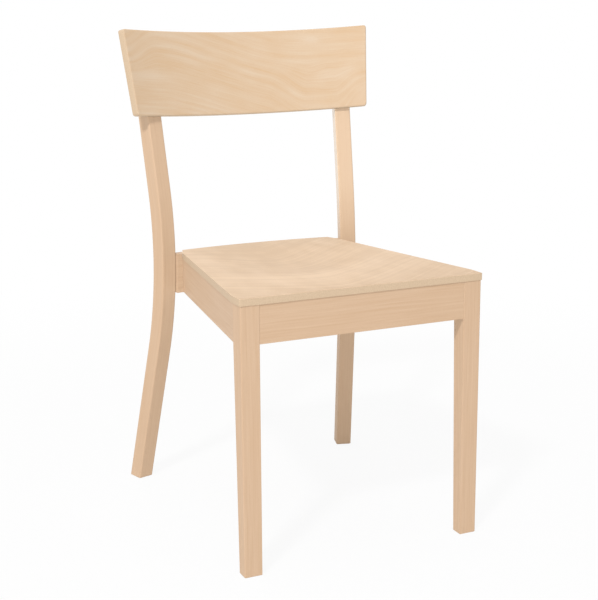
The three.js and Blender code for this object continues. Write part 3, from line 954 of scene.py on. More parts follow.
@dataclass(frozen=True)
class SteelFinish:
    """Zinc-plated steel of the screws."""

    name: str = "zinc_plate"
    bright: Colour = paint(190, 192, 188)
    dull: Colour = paint(160, 160, 150)
    crystal_turns: tuple[float, float, float] = (900.0, 900.0, 900.0)
    roughness: Fade = Fade(0.0, 1.0, 0.28, 0.45)
    relief_strength: float = 0.1
    relief_height: float = 0.0001

    def material(self) -> bpy.types.Material:
        """Draws the material and returns it."""
        material, pad = blank_material(self.name)
        place = pad.out("ShaderNodeTexCoord", output="Object")
        crystals = pad.noise(pad.scaled(place, self.crystal_turns), detail=3.0)
        share = (crystals * 0.5 + 0.5).clamped()
        relief = {
            "Strength": self.relief_strength,
            "Distance": self.relief_height,
            "Height": crystals,
        }
        shader = pad.out(
            "ShaderNodeBsdfPrincipled",
            {
                "Base Color": pad.mixed(share, self.dull, self.bright),
                "Metallic": 1.0,
                "Roughness": pad.span(share, *self.roughness),
                "Normal": pad.out("ShaderNodeBump", relief),
            },
        )
        pad.put("ShaderNodeOutputMaterial", {0: shader})
        return material


@dataclass(frozen=True)
class Finishes:
    """The chair's materials, each drawn once."""

    frame: bpy.types.Material
    posts: bpy.types.Material
    seat: bpy.types.Material
    backrest: bpy.types.Material
    raw: bpy.types.Material
    raw_node: bpy.types.Material
    steel: bpy.types.Material

    @classmethod
    def mixed(cls) -> "Finishes":
        """Draws all the materials."""
        frame_finish = BeechFinish("beech_clear_frame")
        posts = replace(
            frame_finish,
            name="beech_clear_posts",
            band_depth=0.28,
            line_depth=0.16,
            # the posts get the painted sheen and the extra coat
            handled=True,
        )
        seat = BeechFinish(
            "beech_clear_seat",
            pale=paint(239, 211, 181),
            deep=paint(221, 192, 161),
            grain=VeneerFigure,
            contour=SeatContour,
            band_depth=0.4,
            line_depth=0.2,
            cloud_depth=0.34,
            coat=0.0,
            ply_thickness=ChairPlan.seat_thickness,
        )
        backrest = BeechFinish(
            "beech_clear_backrest",
            pale=paint(227, 203, 176),
            deep=paint(220, 187, 150),
            grain=VeneerFigure,
            contour=BackrestContour,
            band_depth=0.24,
            line_depth=0.34,
            cloud_depth=0.34,
            ply_thickness=Backrest.thickness,
        )
        raw = BeechFinish(
            "beech_raw",
            pale=paint(226, 198, 162),
            deep=paint(208, 174, 136),
            fleck=paint(178, 138, 100),
            fleck_share=0.3,
            roughness=0.75,
        )
        return cls(
            frame=frame_finish.material(),
            posts=posts.material(),
            seat=seat.material(),
            backrest=backrest.material(),
            raw=raw.material(),
            raw_node=replace(raw, name="beech_raw_inside", by_object=True).material(),
            steel=SteelFinish().material(),
        )


# Pieces


def dressed(
    obj: bpy.types.Object,
    material: bpy.types.Material,
    slot: Slot,
    nodes: Sequence[str],
    place: Place | None = None,
    crease: float = 38.0,
    handled: Callable[[Vector], float] | None = None,
) -> None:
    """Finishes a piece, sets it under the chair's body and hides the CAD nodes that it stands for.

    Args:
        obj: the piece, with its final mesh.
        material: what it wears.
        slot: a slot of the record; not used.
        nodes: the CAD nodes that it stands for.
        place: gives each point's place in the straight timber, where the mesh has none yet.
        crease: in degrees, the angle past which an edge stays sharp.
        handled: gives how much painted sheen and extra coat a point gets.
    """
    mesh = obj.data
    if place:
        layer = mesh.attributes.new(WOOD, "FLOAT_VECTOR", "POINT")
        places = [value for v in mesh.vertices for value in place(v.co)]
        layer.data.foreach_set("vector", places)
    # the mask of the painted sheen and the extra coat
    if handled:
        layer = mesh.attributes.new(SHEEN, "FLOAT", "POINT")
        layer.data.foreach_set("value", [handled(v.co) for v in mesh.vertices])
    mesh.shade_smooth()
    mesh.set_sharp_from_angle(angle=math.radians(crease))
    mesh.materials.clear()
    mesh.materials.append(material)
    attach(obj, BODY)
    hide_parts(*nodes)
    log.info("%s: %d faces, stands for %d nodes", obj.name, len(mesh.polygons), len(nodes))


@dataclass(frozen=True)
class ChairPlan:
    """Sizes that more than one sub-assembly shares, and the places that follow from them."""

    front: float
    joint_gap: float = 0.0003
    seam: float = 0.00008
    overrun: float = 0.003
    seat_height: float = 0.460
    seat_thickness: float = 0.012
    seat_fall: float = 0.0045
    seat_overhang: float = 0.0014
    seat_side_depth: float = 0.417
    seat_rear_width: float = 0.3187
    tongue_depth: float = 0.028
    tongue_inset: float = 0.010
    back_radius: float = 1.019
    leg_spread: float = 0.433
    leg_width: float = 0.0321
    leg_depth: float = 0.0322
    rail_height: float = 0.0631
    rail_thickness: float = 0.022
    rear_rail_thickness: float = 0.019
    rail_ease: float = 0.0006
    apron_inset: float = 0.0005
    side_rail_inset: float = 0.0006
    ear_drop: float = 0.003
    ear_width: float = 0.0095
    post_width: float = 0.030
    post_depth: float = 0.0312

    @property
    def rail_top(self) -> float:
        """The level of the rails' top edges."""
        return self.seat_height - self.seat_thickness - self.joint_gap

    @property
    def rail_bottom(self) -> float:
        """The level of the rails' bottom edges."""
        return self.rail_top - self.rail_height

    @property
    def rear_half(self) -> float:
        """Half of the seat's width at its rear corners."""
        return self.seat_rear_width / 2

    @property
    def tongue_half(self) -> float:
        """Half of the width at the seat's rear edge."""
        return self.rear_half - self.tongue_inset

    @property
    def arc_centre(self) -> float:
        """The depth of the centre of the seat's rear arc."""
        end = self.seat_side_depth + self.tongue_depth
        return end - math.sqrt(self.back_radius**2 - self.tongue_half**2)

    @property
    def rail_back_radius(self) -> float:
        """The radius of the rear rail's back."""
        return self.back_radius - self.seat_overhang

    @property
    def rail_front_radius(self) -> float:
        """The radius of the rear rail's front."""
        return self.rail_back_radius - self.rear_rail_thickness

    @property
    def side_start(self) -> Vector:
        """Where a side rail's outer face meets its leg, in plan."""
        return Vector((self.leg_spread / 2 - self.side_rail_inset, self.leg_depth))

    @property
    def side_along(self) -> Vector:
        """The direction of a side rail towards the back, in plan."""
        end = Vector((self.rear_half - self.seat_overhang, self.seat_side_depth))
        return (end - self.side_start).normalized()

    def at(self, x: float, depth: float, height: float) -> Vector:
        """A point of the chair."""
        return Vector((x, self.front + depth, height))

    def settled(self, x: float, depth: float, level: float) -> Vector:
        """A point of the seat frame, which settles towards the back."""
        return self.at(x, depth, level - self.seat_fall / self.seat_side_depth * depth)

    def arc_point(self, radius: float, x: float) -> tuple[float, float]:
        """A point of an arc round the seat's back centre, in plan."""
        return (x, self.arc_centre + math.sqrt(radius**2 - x**2))

    def arc(self, radius: float, start: float, end: float, steps: int) -> Outline:
        """Points of that arc, from one distance from the middle to another."""
        run = (end - start) / steps
        return [self.arc_point(radius, start + run * k) for k in range(steps + 1)]

    def beside_rail(self, inside: float) -> Vector:
        """Where a line this far inside a side rail's outer face starts, in plan."""
        outward = Vector((self.side_along.y, -self.side_along.x))
        return self.side_start - inside * outward

    def rail_at_depth(self, depth: float, inside: float) -> tuple[float, float]:
        """Where that line crosses a depth."""
        start = self.beside_rail(inside)
        point = start + self.side_along * ((depth - start.y) / self.side_along.y)
        return tuple(point)

    def rail_on_arc(self, radius: float, inside: float) -> tuple[float, float]:
        """Where that line meets an arc round the seat's back centre."""
        start = self.beside_rail(inside) - Vector((0.0, self.arc_centre))
        along = start.dot(self.side_along)
        run = math.sqrt(along**2 - start.length_squared + radius**2) - along
        point = start + self.side_along * run
        return (point.x, point.y + self.arc_centre)

    def edge_rings(self, outline: Outline, bottom: float, top: float, ease: float) -> list[Ring]:
        """The rings round the edge of a settled panel or rail, with round arrises.

        Args:
            outline: the points of its plan, counter-clockwise from above.
            bottom: the lower level.
            top: the upper level.
            ease: the radius of the arrises.

        Returns:
            The rings, from the bottom to the top.
        """
        edge = rounding(ease)
        sections = [(bottom + rise, inset) for rise, inset in edge]
        sections += [(top - rise, inset) for rise, inset in reversed(edge)]
        return [
            [self.settled(x, y, level) for x, y in drawn_in(outline, inset)]
            for level, inset in sections
        ]

    def slab(self, outline: Outline, bottom: float, top: float) -> Draft:
        """Draws a rail of the seat frame from its plan and its two levels."""
        return Draft.skin(self.edge_rings(outline, bottom, top, self.rail_ease))


@dataclass
class FrontLegs:
    """The two front legs, which taper on their inner and rear faces."""

    plan: ChairPlan
    finishes: Finishes
    foot_width: float = 0.0307
    foot_depth: float = 0.0233
    ease: float = 0.0018
    rail_side_ease: float = 0.0008
    foot_ease: float = 0.0012
    ring_shares: tuple[float, ...] = (0.25, 0.5, 0.75, 0.995, 1.0, 1.005)
    grain_middle: float = 0.2

    def ring(self, level: float, inset: float) -> Outline:
        """The leg's outline at a level, drawn in all round.

        Args:
            level: the height of the section.
            inset: how far it is drawn in.

        Returns:
            The points of the section, in plan.
        """
        share = min(level / self.plan.rail_bottom, 1.0)
        width = self.foot_width + (self.plan.leg_width - self.foot_width) * share
        depth = self.foot_depth + (self.plan.leg_depth - self.foot_depth) * share
        outer = self.plan.leg_spread / 2
        low = (outer - width + inset, inset)
        high = (outer - inset, depth - inset)
        first = self.rail_side_ease - inset / 2
        return rounded_rectangle(low, high, self.ease - inset / 2, first_radius=first)

    def draft(self) -> Draft:
        """Draws the right leg."""
        plan = self.plan
        sections = rounding(self.foot_ease)
        sections += [(share * plan.rail_bottom, 0.0) for share in self.ring_shares]
        rings = []
        for level, inset in sections:
            rings.append([plan.at(x, y, level) for x, y in self.ring(level, inset)])
        rings.append([plan.settled(x, y, plan.rail_top) for x, y in self.ring(plan.rail_top, 0.0)])
        return Draft.skin(rings)

    def build(self) -> None:
        """Builds both legs."""
        draft = self.draft()
        for side in Side:
            start = Timber[f"LEG_{side.name}"].value

            def place(point: Vector, side: Side = side, start: float = start) -> Vector:
                """A point's place in its leg's timber."""
                across = side.value * point.x - self.grain_middle
                return Vector((point.z + start, across, point.y - self.plan.front))

            obj = draft.on(side).object(f"leg_front_{side.word}")
            nodes = [f"front_leg_{side.word}"]
            dressed(obj, self.finishes.frame, Slot.FRAME, nodes, place)


@dataclass
class SeatFrame:
    """The rails under the seat: the apron, the side rails and the curved rear rail."""

    plan: ChairPlan
    finishes: Finishes
    posts: "RearPosts"
    arc_steps: int = 48
    apron_middle: float = 0.42
    side_rail_middle: float = 0.41
    rear_rail_middle: float = 0.40

    def apron(self) -> Draft:
        """Draws the apron between the front legs."""
        plan = self.plan
        end = plan.leg_spread / 2 - plan.leg_width - plan.seam
        front, back = plan.apron_inset, plan.apron_inset + plan.rail_thickness
        outline = [(-end, front), (end, front), (end, back), (-end, back)]
        return plan.slab(outline, plan.rail_bottom, plan.rail_top)

    def side_rail(self) -> Draft:
        """Draws the right side rail."""
        plan = self.plan
        front = plan.leg_depth + plan.seam
        back = plan.rail_front_radius - plan.seam
        outer = plan.rail_on_arc(back, 0.0)
        inner = plan.rail_on_arc(back, plan.rail_thickness)
        outline = [
            plan.rail_at_depth(front, plan.rail_thickness),
            plan.rail_at_depth(front, 0.0),
            outer,
            plan.arc_point(back, (outer[0] + inner[0]) / 2),
            inner,
        ]
        return plan.slab(outline, plan.rail_bottom, plan.rail_top)

    def rear_rail(self) -> Draft:
        """Draws the rear rail before its ends and its seat are cut."""
        plan = self.plan
        reach = plan.rear_half + plan.ear_width + plan.post_width / 2
        outline = [
            *plan.arc(plan.rail_front_radius, -reach, reach, self.arc_steps),
            *plan.arc(plan.rail_back_radius, reach, -reach, self.arc_steps),
        ]
        return plan.slab(outline, plan.rail_bottom, plan.seat_height - plan.ear_drop)

    def tongue_space(self) -> Draft:
        """Draws the space over the rear rail that the seat fills."""
        plan = self.plan
        run = Vector((-plan.tongue_inset, plan.tongue_depth))
        corner = Vector((plan.rear_half + plan.joint_gap, plan.seat_side_depth))
        front, back = corner - run, corner + 2 * run
        outline = [tuple(front), tuple(back), (-back.x, back.y), (-front.x, front.y)]
        levels = (plan.rail_top, plan.seat_height + plan.overrun)
        return Draft.skin([[plan.settled(x, y, level) for x, y in outline] for level in levels])

    def build(self) -> None:
        """Builds the four rails."""
        plan, finish = self.plan, self.finishes.frame

        def across(point: Vector) -> Vector:
            """A point's place in the apron's timber."""
            start = Timber.APRON.value
            return Vector((point.x + start, point.z - self.apron_middle, point.y - plan.front))

        def bent(point: Vector) -> Vector:
            """A point's place in the rear rail's timber, before it was bent."""
            depth = point.y - plan.front - plan.arc_centre
            along = plan.back_radius * math.atan2(point.x, depth) + Timber.REAR_RAIL.value
            behind = math.hypot(point.x, depth) - plan.back_radius
            return Vector((along, point.z - self.rear_rail_middle, behind))

        apron = self.apron().object("rail_front")
        dressed(apron, finish, Slot.FRAME, ["front_apron"], across)
        for side in Side:
            start = Timber[f"SIDE_RAIL_{side.name}"].value

            def place(point: Vector, side: Side = side, start: float = start) -> Vector:
                """A point's place in its side rail's timber."""
                run = plan.side_along
                offset = Vector((side.value * point.x, point.y - plan.front)) - plan.side_start
                inside = offset.x * run.y - offset.y * run.x
                return Vector((offset.dot(run) + start, point.z - self.side_rail_middle, inside))

            rail = self.side_rail().on(side).object(f"rail_side_{side.word}")
            dressed(rail, finish, Slot.FRAME, [f"side_rail_{side.word}"], place)
        rear = self.rear_rail().object("rail_rear")
        cutters = [self.tongue_space(), *(self.posts.side_space().on(side) for side in Side)]
        dressed(cut(rear, cutters), finish, Slot.FRAME, ["rear_rail"], bent)


@dataclass
class SeatPanel:
    """The moulded seat panel: plywood with eased edges and a shallow hollow."""

    plan: ChairPlan
    finishes: Finishes
    corner_radius: float = 0.0018
    ease: float = 0.0005
    hollow_depth: float = 0.008
    hollow_middle: float = 0.275
    hollow_half: float = 0.152
    hollow_draw_in: float = 0.15
    hollow_front: float = 0.175
    hollow_rear: float = 0.150
    squareness: float = 2.5
    corner_steps: int = 6
    side_steps: int = 16
    arc_steps: int = 48
    hollow_steps: int = 22
    beyond_hollow: float = 1.03

    def outline(self) -> Outline:
        """The panel in plan, counter-clockwise from its front left corner."""
        plan, radius = self.plan, self.corner_radius
        half = plan.leg_spread / 2 + plan.seat_overhang
        front = -plan.seat_overhang
        points = []
        for x, start in ((-half + radius, 180), (half - radius, 270)):
            for step in range(self.corner_steps + 1):
                angle = math.radians(start + 90 * step / self.corner_steps)
                reach = (radius * math.cos(angle), radius * math.sin(angle))
                points.append((x + reach[0], front + radius + reach[1]))
            if x < 0:
                run = 2 * (half - radius) / self.side_steps
                points += [(x + run * step, front) for step in range(1, self.side_steps)]
        side = []
        for step in range(self.side_steps + 1):
            share = step / self.side_steps
            x = half + (plan.rear_half - half) * share
            side.append((x, plan.leg_depth + (plan.seat_side_depth - plan.leg_depth) * share))
        back = plan.arc(plan.back_radius, plan.tongue_half, -plan.tongue_half, self.arc_steps)
        return [*points, *side, *back, *((-x, y) for x, y in reversed(side))]

    def in_hollow(self, x: float, depth: float) -> tuple[float, float]:
        """A plan place as shares of the hollow's reach, across and along."""
        run = depth - self.hollow_middle
        reach = self.hollow_front if run < 0 else self.hollow_rear
        return x / (self.hollow_half - self.hollow_draw_in * run), run / reach

    def share(self, x: float, depth: float) -> float:
        """How far out a plan place is: 0 at the deepest place, 1 at the hollow's rim."""
        across, along = self.in_hollow(x, depth)
        power = self.squareness
        return (abs(across) ** power + abs(along) ** power) ** (1 / power)

    def sunk(self, share: float) -> float:
        """How far the panel is pressed down at a share of the way to the rim."""
        return self.hollow_depth * (1 - min(share, 1.0) ** 2) ** 2

    def hollow_ring(self, outline: Outline, share: float, level: float) -> Ring:
        """A ring of the hollow.

        Args:
            outline: the panel's outline, whose points the ring's points follow.
            share: how far out the ring is.
            level: of the surface that is pressed down.

        Returns:
            The ring.
        """
        ring = []
        level -= self.sunk(share)
        for x, depth in outline:
            across, along = self.in_hollow(x, depth)
            scale = share / self.share(x, depth)
            run = along * scale * (self.hollow_front if along < 0 else self.hollow_rear)
            width = self.hollow_half - self.hollow_draw_in * run
            ring.append(self.plan.settled(across * scale * width, self.hollow_middle + run, level))
        return ring

    def draft(self) -> Draft:
        """Draws the panel."""
        plan, outline = self.plan, self.outline()
        top = plan.seat_height
        bottom = top - plan.seat_thickness
        shares = [(step + 0.5) / self.hollow_steps for step in range(self.hollow_steps)]
        shares += [1.0, self.beyond_hollow]
        rings = [self.hollow_ring(outline, share, bottom) for share in shares]
        rings += plan.edge_rings(outline, bottom, top, self.ease)
        rings += [self.hollow_ring(outline, share, top) for share in reversed(shares)]
        return Draft.skin(rings)

    def build(self) -> None:
        """Builds the panel."""
        plan = self.plan

        def place(point: Vector) -> Vector:
            """A point's place in the flat plywood."""
            depth = point.y - plan.front
            level = point.z + plan.seat_fall / plan.seat_side_depth * depth
            under = plan.seat_height - self.sunk(self.share(point.x, depth)) - level
            return Vector((depth, point.x, under))

        seat = self.draft().object("panel_seat")
        dressed(seat, self.finishes.seat, Slot.SEAT, ["seat_panel"], place)


@dataclass
class Backrest:
    """The backrest panel: a flat board that its node tree bends round the sitter's back."""

    plan: ChairPlan
    finishes: Finishes
    bottom_height: float = 0.7065
    height: float = 0.1538
    thickness: float = 0.0153
    bottom_width: float = 0.4572
    top_width: float = 0.4838
    bottom_hollow: float = 0.0503
    top_hollow: float = 0.0532
    tilt: float = math.radians(11)
    housing: float = 0.0069
    ease: float = 0.0022
    corner_radius: float = 0.005
    ease_angles: tuple[float, ...] = (22.5, 45.0, 67.5, 90.0)
    corner_angles: tuple[float, ...] = (60.0, 67.5, 75.0, 82.5, 90.0)
    steps: int = 56
    search_steps: int = 12
    depth: float = field(default=0.0, init=False)

    def arc_place(self, width: float, hollow: float, share: float, behind: float) -> Vector:
        """A point of one of the panel's two long curves.

        Args:
            width: of the panel at that curve.
            hollow: the depth of the curve.
            share: the place across, -1 to 1.
            behind: the distance behind the front face.

        Returns:
            The distance from the middle and the depth behind the curve's ends.
        """
        half = width / 2
        radius = (half**2 + hollow**2) / (2 * hollow)
        angle = share * math.asin(half / radius)
        reach = radius + behind
        return Vector((reach * math.sin(angle), reach * math.cos(angle) - (radius - hollow)))

    def point(self, share: float, rise: float, behind: float) -> Vector:
        """A point of the bent panel, from its place on the flat board."""
        low = self.arc_place(self.bottom_width, self.bottom_hollow, share, behind)
        high = self.arc_place(self.top_width, self.top_hollow, share, behind)
        place = low.lerp(high, rise / self.height)
        sine, cosine = math.sin(self.tilt), math.cos(self.tilt)
        return self.plan.at(
            place.x,
            self.depth + rise * sine + place.y * cosine,
            self.bottom_height + rise * cosine - place.y * sine,
        )

    def stand(self, posts: "RearPosts") -> None:
        """Finds the depth at which the panel's back is let into the posts at mid height.

        Args:
            posts: the posts that carry it.
        """
        self.depth = 0.0
        rise = self.height / 2
        level = self.point(1.0, rise, self.thickness).z
        front = posts.point(posts.line_at(level, -self.plan.post_depth / 2), level, 0.0)
        share = 0.5
        for _ in range(self.search_steps):
            share *= front.x / self.point(share, rise, self.thickness).x
        self.depth = front.y + self.housing - self.point(share, rise, self.thickness).y

    def board_rings(self, grow: float) -> list[Ring]:
        """The sections of the flat board, end to end: along, behind and rise.

        Args:
            grow: how far the board is grown all round.

        Returns:
            The rings.
        """
        half = self.bottom_width / 2 + grow
        radius = self.corner_radius
        distances = [0.0]
        for reach, angles in ((self.ease, self.ease_angles), (radius, self.corner_angles)):
            distances += [reach * (1 - math.cos(math.radians(angle))) for angle in angles]
        distances.append(radius + FLANK)

        def drop(reach: float, from_end: float) -> float:
            """How far a rounding of this radius draws the board in."""
            return reach - math.sqrt(reach**2 - max(reach - from_end, 0.0) ** 2)

        def ring(along: float, from_end: float) -> Ring:
            """The board's section at a place, this far from its nearer end."""
            edge, face = drop(radius, from_end), drop(self.ease, from_end)
            low = (face - grow, edge - grow)
            high = (self.thickness - face + grow, self.height - edge + grow)
            section = rounded_rectangle(low, high, self.ease - face / 2)
            return [Vector((along, behind, rise)) for behind, rise in section]

        rings = [ring(-half + distance, distance) for distance in distances]
        span = half - distances[-1]
        for step in range(1, self.steps):
            rings.append(ring(-span + 2 * span * step / self.steps, half))
        rings += [ring(half - distance, distance) for distance in reversed(distances)]
        return rings

    def bent(self, grow: float) -> Draft:
        """Draws the bent panel, grown all round, as a cutting body."""
        half = self.bottom_width / 2
        rings = self.board_rings(grow)
        return Draft.skin([[self.point(p.x / half, p.z, p.y) for p in ring] for ring in rings])

    def bending_tree(self) -> bpy.types.NodeTree:
        """Draws the tree that bends the flat board and keeps each point's place on it."""
        kinds = {name: "Float" for name in self.tree_values()}
        kinds = {"Board": "Geometry", **kinds, "Finish": "Material"}
        pad, given = geometry_tree("bent_board", kinds)
        along, behind, rise = pad.parts(pad.out("GeometryNodeInputPosition"))
        share = along / (given["Bottom Width"] / 2.0)

        def curve(width: Wire, hollow: Wire) -> tuple[Wire, Wire]:
            """The places across and behind on one of the long curves; see arc_place."""
            half = width / 2.0
            radius = (half * half + hollow * hollow) / (hollow * 2.0)
            angle = share * pad.math("ARCSINE", half / radius)
            reach = radius + behind
            back = reach * pad.math("COSINE", angle) - (radius - hollow)
            return reach * pad.math("SINE", angle), back

        low = curve(given["Bottom Width"], given["Bottom Hollow"])
        high = curve(given["Top Width"], given["Top Hollow"])
        part = rise / given["Height"]
        out, back = (first + (second - first) * part for first, second in zip(low, high))
        sine, cosine = pad.math("SINE", given["Tilt"]), pad.math("COSINE", given["Tilt"])
        depth = given["Depth"] + rise * sine + back * cosine
        height = given["Bottom Height"] + (rise * cosine - back * sine)
        kept = pad.out(
            "GeometryNodeStoreNamedAttribute",
            {"Geometry": given["Board"], "Name": WOOD, "Value": pad.joined(along, rise, behind)},
            data_type="FLOAT_VECTOR",
            domain="POINT",
        )
        target = {"Geometry": kept, "Position": pad.joined(out, depth, height)}
        return pad.ended(pad.out("GeometryNodeSetPosition", target), given["Finish"])

    def tree_values(self) -> dict[str, float]:
        """The sizes that the bending tree takes, by the names of its inputs."""
        return {
            "Bottom Width": self.bottom_width,
            "Top Width": self.top_width,
            "Bottom Hollow": self.bottom_hollow,
            "Top Hollow": self.top_hollow,
            "Height": self.height,
            "Tilt": self.tilt,
            "Depth": self.plan.front + self.depth,
            "Bottom Height": self.bottom_height,
        }

    def build(self) -> None:
        """Builds the panel."""
        finish = self.finishes.backrest
        obj = Draft.skin(self.board_rings(0.0)).object("panel_backrest")
        run_tree(obj, self.bending_tree(), {**self.tree_values(), "Finish": finish})
        turn_faces_out(obj.data)
        dressed(obj, finish, Slot.BACKREST, ["backrest_panel"])


@dataclass
class RearPosts:
    """The two rear posts: straight and raked below, bent at the waist, tilted back above."""

    plan: ChairPlan
    finishes: Finishes
    setback: float = 0.0088
    turn: float = math.radians(16.4)
    lean: float = math.radians(1.05)
    rake: float = math.radians(14.2)
    tilt: float = math.radians(11.3)
    bend_radius: float = 0.680
    waist: float = 0.434
    top_drop: float = 0.012
    ease: float = 0.0027
    end_ease: float = 0.0016
    bend_steps: int = 28
    bend_flank: float = 0.004
    crease: float = 30.0
    plug_radius: float = 0.005
    plug_depth: float = 0.0063
    screw_shares: tuple[float, float] = (0.24, 0.76)
    # the heights between which the painted sheen grows, and how much each face gets
    grip_start: float = 0.43
    grip_end: float = 0.56
    polish_inner: float = 1.0
    polish_right: float = 0.4
    polish_left: float = 0.06

    @property
    def across(self) -> Vector:
        """The direction across a post's front face."""
        return Vector((math.cos(self.turn), -math.sin(self.turn), 0.0))

    @property
    def back(self) -> Vector:
        """The level direction from a post's front to its back."""
        return Vector((math.sin(self.turn), math.cos(self.turn), 0.0))

    @property
    def rising(self) -> Vector:
        """The direction of the post's lean, for one unit of height."""
        return Vector((-math.tan(self.lean), 0.0, 1.0))

    @property
    def foot(self) -> Vector:
        """Where the post's own frame starts, on the floor."""
        plan = self.plan
        out, depth = plan.rear_half + plan.ear_width, plan.seat_side_depth + self.setback
        edge = plan.at(out, depth, self.waist)
        middle = edge + self.across * (plan.post_width / 2) + self.back * (plan.post_depth / 2)
        return middle - self.rising * self.waist

    def point(self, back: float, height: float, across: float) -> Vector:
        """A point of the right post, from its side view and its place across the width."""
        return self.foot + self.back * back + self.rising * height + self.across * across

    def line(self, angle: float, behind: float) -> tuple[float, float]:
        """A point of the bend in side view: distance back and height."""
        reach = self.bend_radius - behind
        return (self.bend_radius - reach * math.cos(angle), self.waist + reach * math.sin(angle))

    def line_at(self, height: float, behind: float) -> float:
        """How far back a line this far behind the post's middle is at a height."""
        low, high = self.line(-self.rake, behind), self.line(self.tilt, behind)
        if height < low[1]:
            return low[0] + (low[1] - height) * math.tan(self.rake)
        if height > high[1]:
            return high[0] + (height - high[1]) * math.tan(self.tilt)
        reach = self.bend_radius - behind
        return self.bend_radius - math.sqrt(reach**2 - (height - self.waist) ** 2)

    def section(self, inset: float) -> Outline:
        """The post's section, drawn in all round: behind its middle and across."""
        depth, width = self.plan.post_depth / 2 - inset, self.plan.post_width / 2 - inset
        return rounded_rectangle((-depth, -width), (depth, width), self.ease - inset / 2)

    def draft(self, top: float) -> Draft:
        """Draws the right post before it is cut.

        Args:
            top: the height of the middle of its upper end.

        Returns:
            The draft.
        """
        rings = []
        ends = rounding(self.end_ease)
        for height, inset in ends:
            section = self.section(inset)
            rings.append([self.point(self.line_at(height, b), height, a) for b, a in section])
        section = self.section(0.0)
        for step in range(-1, self.bend_steps + 2):
            inside = min(max(step, 0), self.bend_steps)
            angle = -self.rake + (self.rake + self.tilt) * inside / self.bend_steps
            beyond = (step - inside) * self.bend_flank
            slide = (beyond * math.sin(angle), beyond * math.cos(angle))
            ring = []
            for b, a in section:
                back, height = self.line(angle, b)
                ring.append(self.point(back + slide[0], height + slide[1], a))
            rings.append(ring)
        sine, cosine = math.sin(self.tilt), math.cos(self.tilt)
        end = self.line_at(top, 0.0)
        for below, inset in reversed(ends):
            ring = []
            for b, a in self.section(inset):
                back, height = cosine * b - sine * below, -sine * b - cosine * below
                ring.append(self.point(end + back, top + height, a))
            rings.append(ring)
        return Draft.skin(rings)

    def timber_place(self, point: Vector) -> Vector:
        """A right post's point as it lay in the straight bar: along, across, behind the middle."""
        offset = point - self.foot
        height = offset.z
        offset = offset - self.rising * height
        back, across = offset.dot(self.back), offset.dot(self.across)
        angle = math.atan2(height - self.waist, self.bend_radius - back)
        angle = min(max(angle, -self.rake), self.tilt)
        middle = self.line(angle, 0.0)
        step = (back - middle[0], height - middle[1])
        sine, cosine = math.sin(angle), math.cos(angle)
        along = self.bend_radius * angle + step[0] * sine + step[1] * cosine
        return Vector((along, across, step[0] * cosine - step[1] * sine))

    def side_space(self) -> Draft:
        """Draws everything past a right post's inner face, less the gap of the joint."""
        plan = self.plan
        size = plan.rail_height + plan.post_width
        middle = plan.rail_bottom + plan.rail_height / 2
        inner = -plan.post_width / 2 - plan.seam
        rings = []
        for across in (inner, inner + 2 * size):
            corners = ((-size, -size), (size, -size), (size, size), (-size, size))
            rings.append([self.point(b, middle + h, across) for b, h in corners])
        return Draft.skin(rings)

    def plug_places(self, panel: Backrest) -> list[tuple[Vector, Vector]]:
        """Where the screws' plugs lie in the right post's back, and the direction of the screws.

        Args:
            panel: the backrest that the screws hold.

        Returns:
            For each screw, the place on the back face and the direction into the post.
        """
        forward = self.back * -math.cos(self.tilt) + Vector((0.0, 0.0, math.sin(self.tilt)))
        places = []
        for share in self.screw_shares:
            height = panel.point(1.0, share * panel.height, panel.thickness).z
            middle = self.point(self.line_at(height, 0.0), height, 0.0)
            places.append((middle - forward * (self.plan.post_depth / 2), forward))
        return places

    def polished(self, point: Vector, side: Side) -> float:
        """How much painted sheen and extra coat a point gets: most on the inner face of the right
        post.

        Args:
            point: the point on the post.
            side: of the post.

        Returns:
            The share, 0 to 1, which grows upwards.
        """
        # painted sheen: the right post's upper inner face is painted near-white as a bright grazing
        # reflection, and the other faces get less
        share = (point.z - self.grip_start) / (self.grip_end - self.grip_start)
        across = self.timber_place(side.turn(point)).y
        inner = across < -self.plan.post_width / 2 + self.ease / 2
        most = self.polish_left
        if side is Side.RIGHT:
            most = self.polish_inner if inner else self.polish_right
        return most * min(max(share, 0.0), 1.0)

    def build(self, panel: Backrest) -> None:
        """Builds both posts, with the housings of the backrest and the holes of the plugs.

        Args:
            panel: the backrest that is let into them.
        """
        top = panel.point(1.0, panel.height, panel.thickness).z - self.top_drop
        draft = self.draft(top)
        overrun = self.plan.overrun
        cutters = [panel.bent(self.plan.joint_gap / 2)]
        for place, forward in self.plug_places(panel):
            start = place - forward * overrun
            cutters.append(cylinder(start, forward, self.plug_radius, overrun + self.plug_depth))
        for side in Side:
            post = draft.on(side).object(f"post_rear_{side.word}")
            cut(post, [cutter.on(side) for cutter in cutters])
            start = Vector((Timber[f"POST_{side.name}"].value, 0.0, 0.0))

            def place(point: Vector, side: Side = side, start: Vector = start) -> Vector:
                """A point's place in its post's timber."""
                return self.timber_place(side.turn(point)) + start

            def handled(point: Vector, side: Side = side) -> float:
                """How much painted sheen and extra coat a point of this post gets."""
                return self.polished(point, side)

            nodes = [f"rear_post_{side.word}"]
            finish = self.finishes.posts
            dressed(post, finish, Slot.FRAME, nodes, place, self.crease, handled)


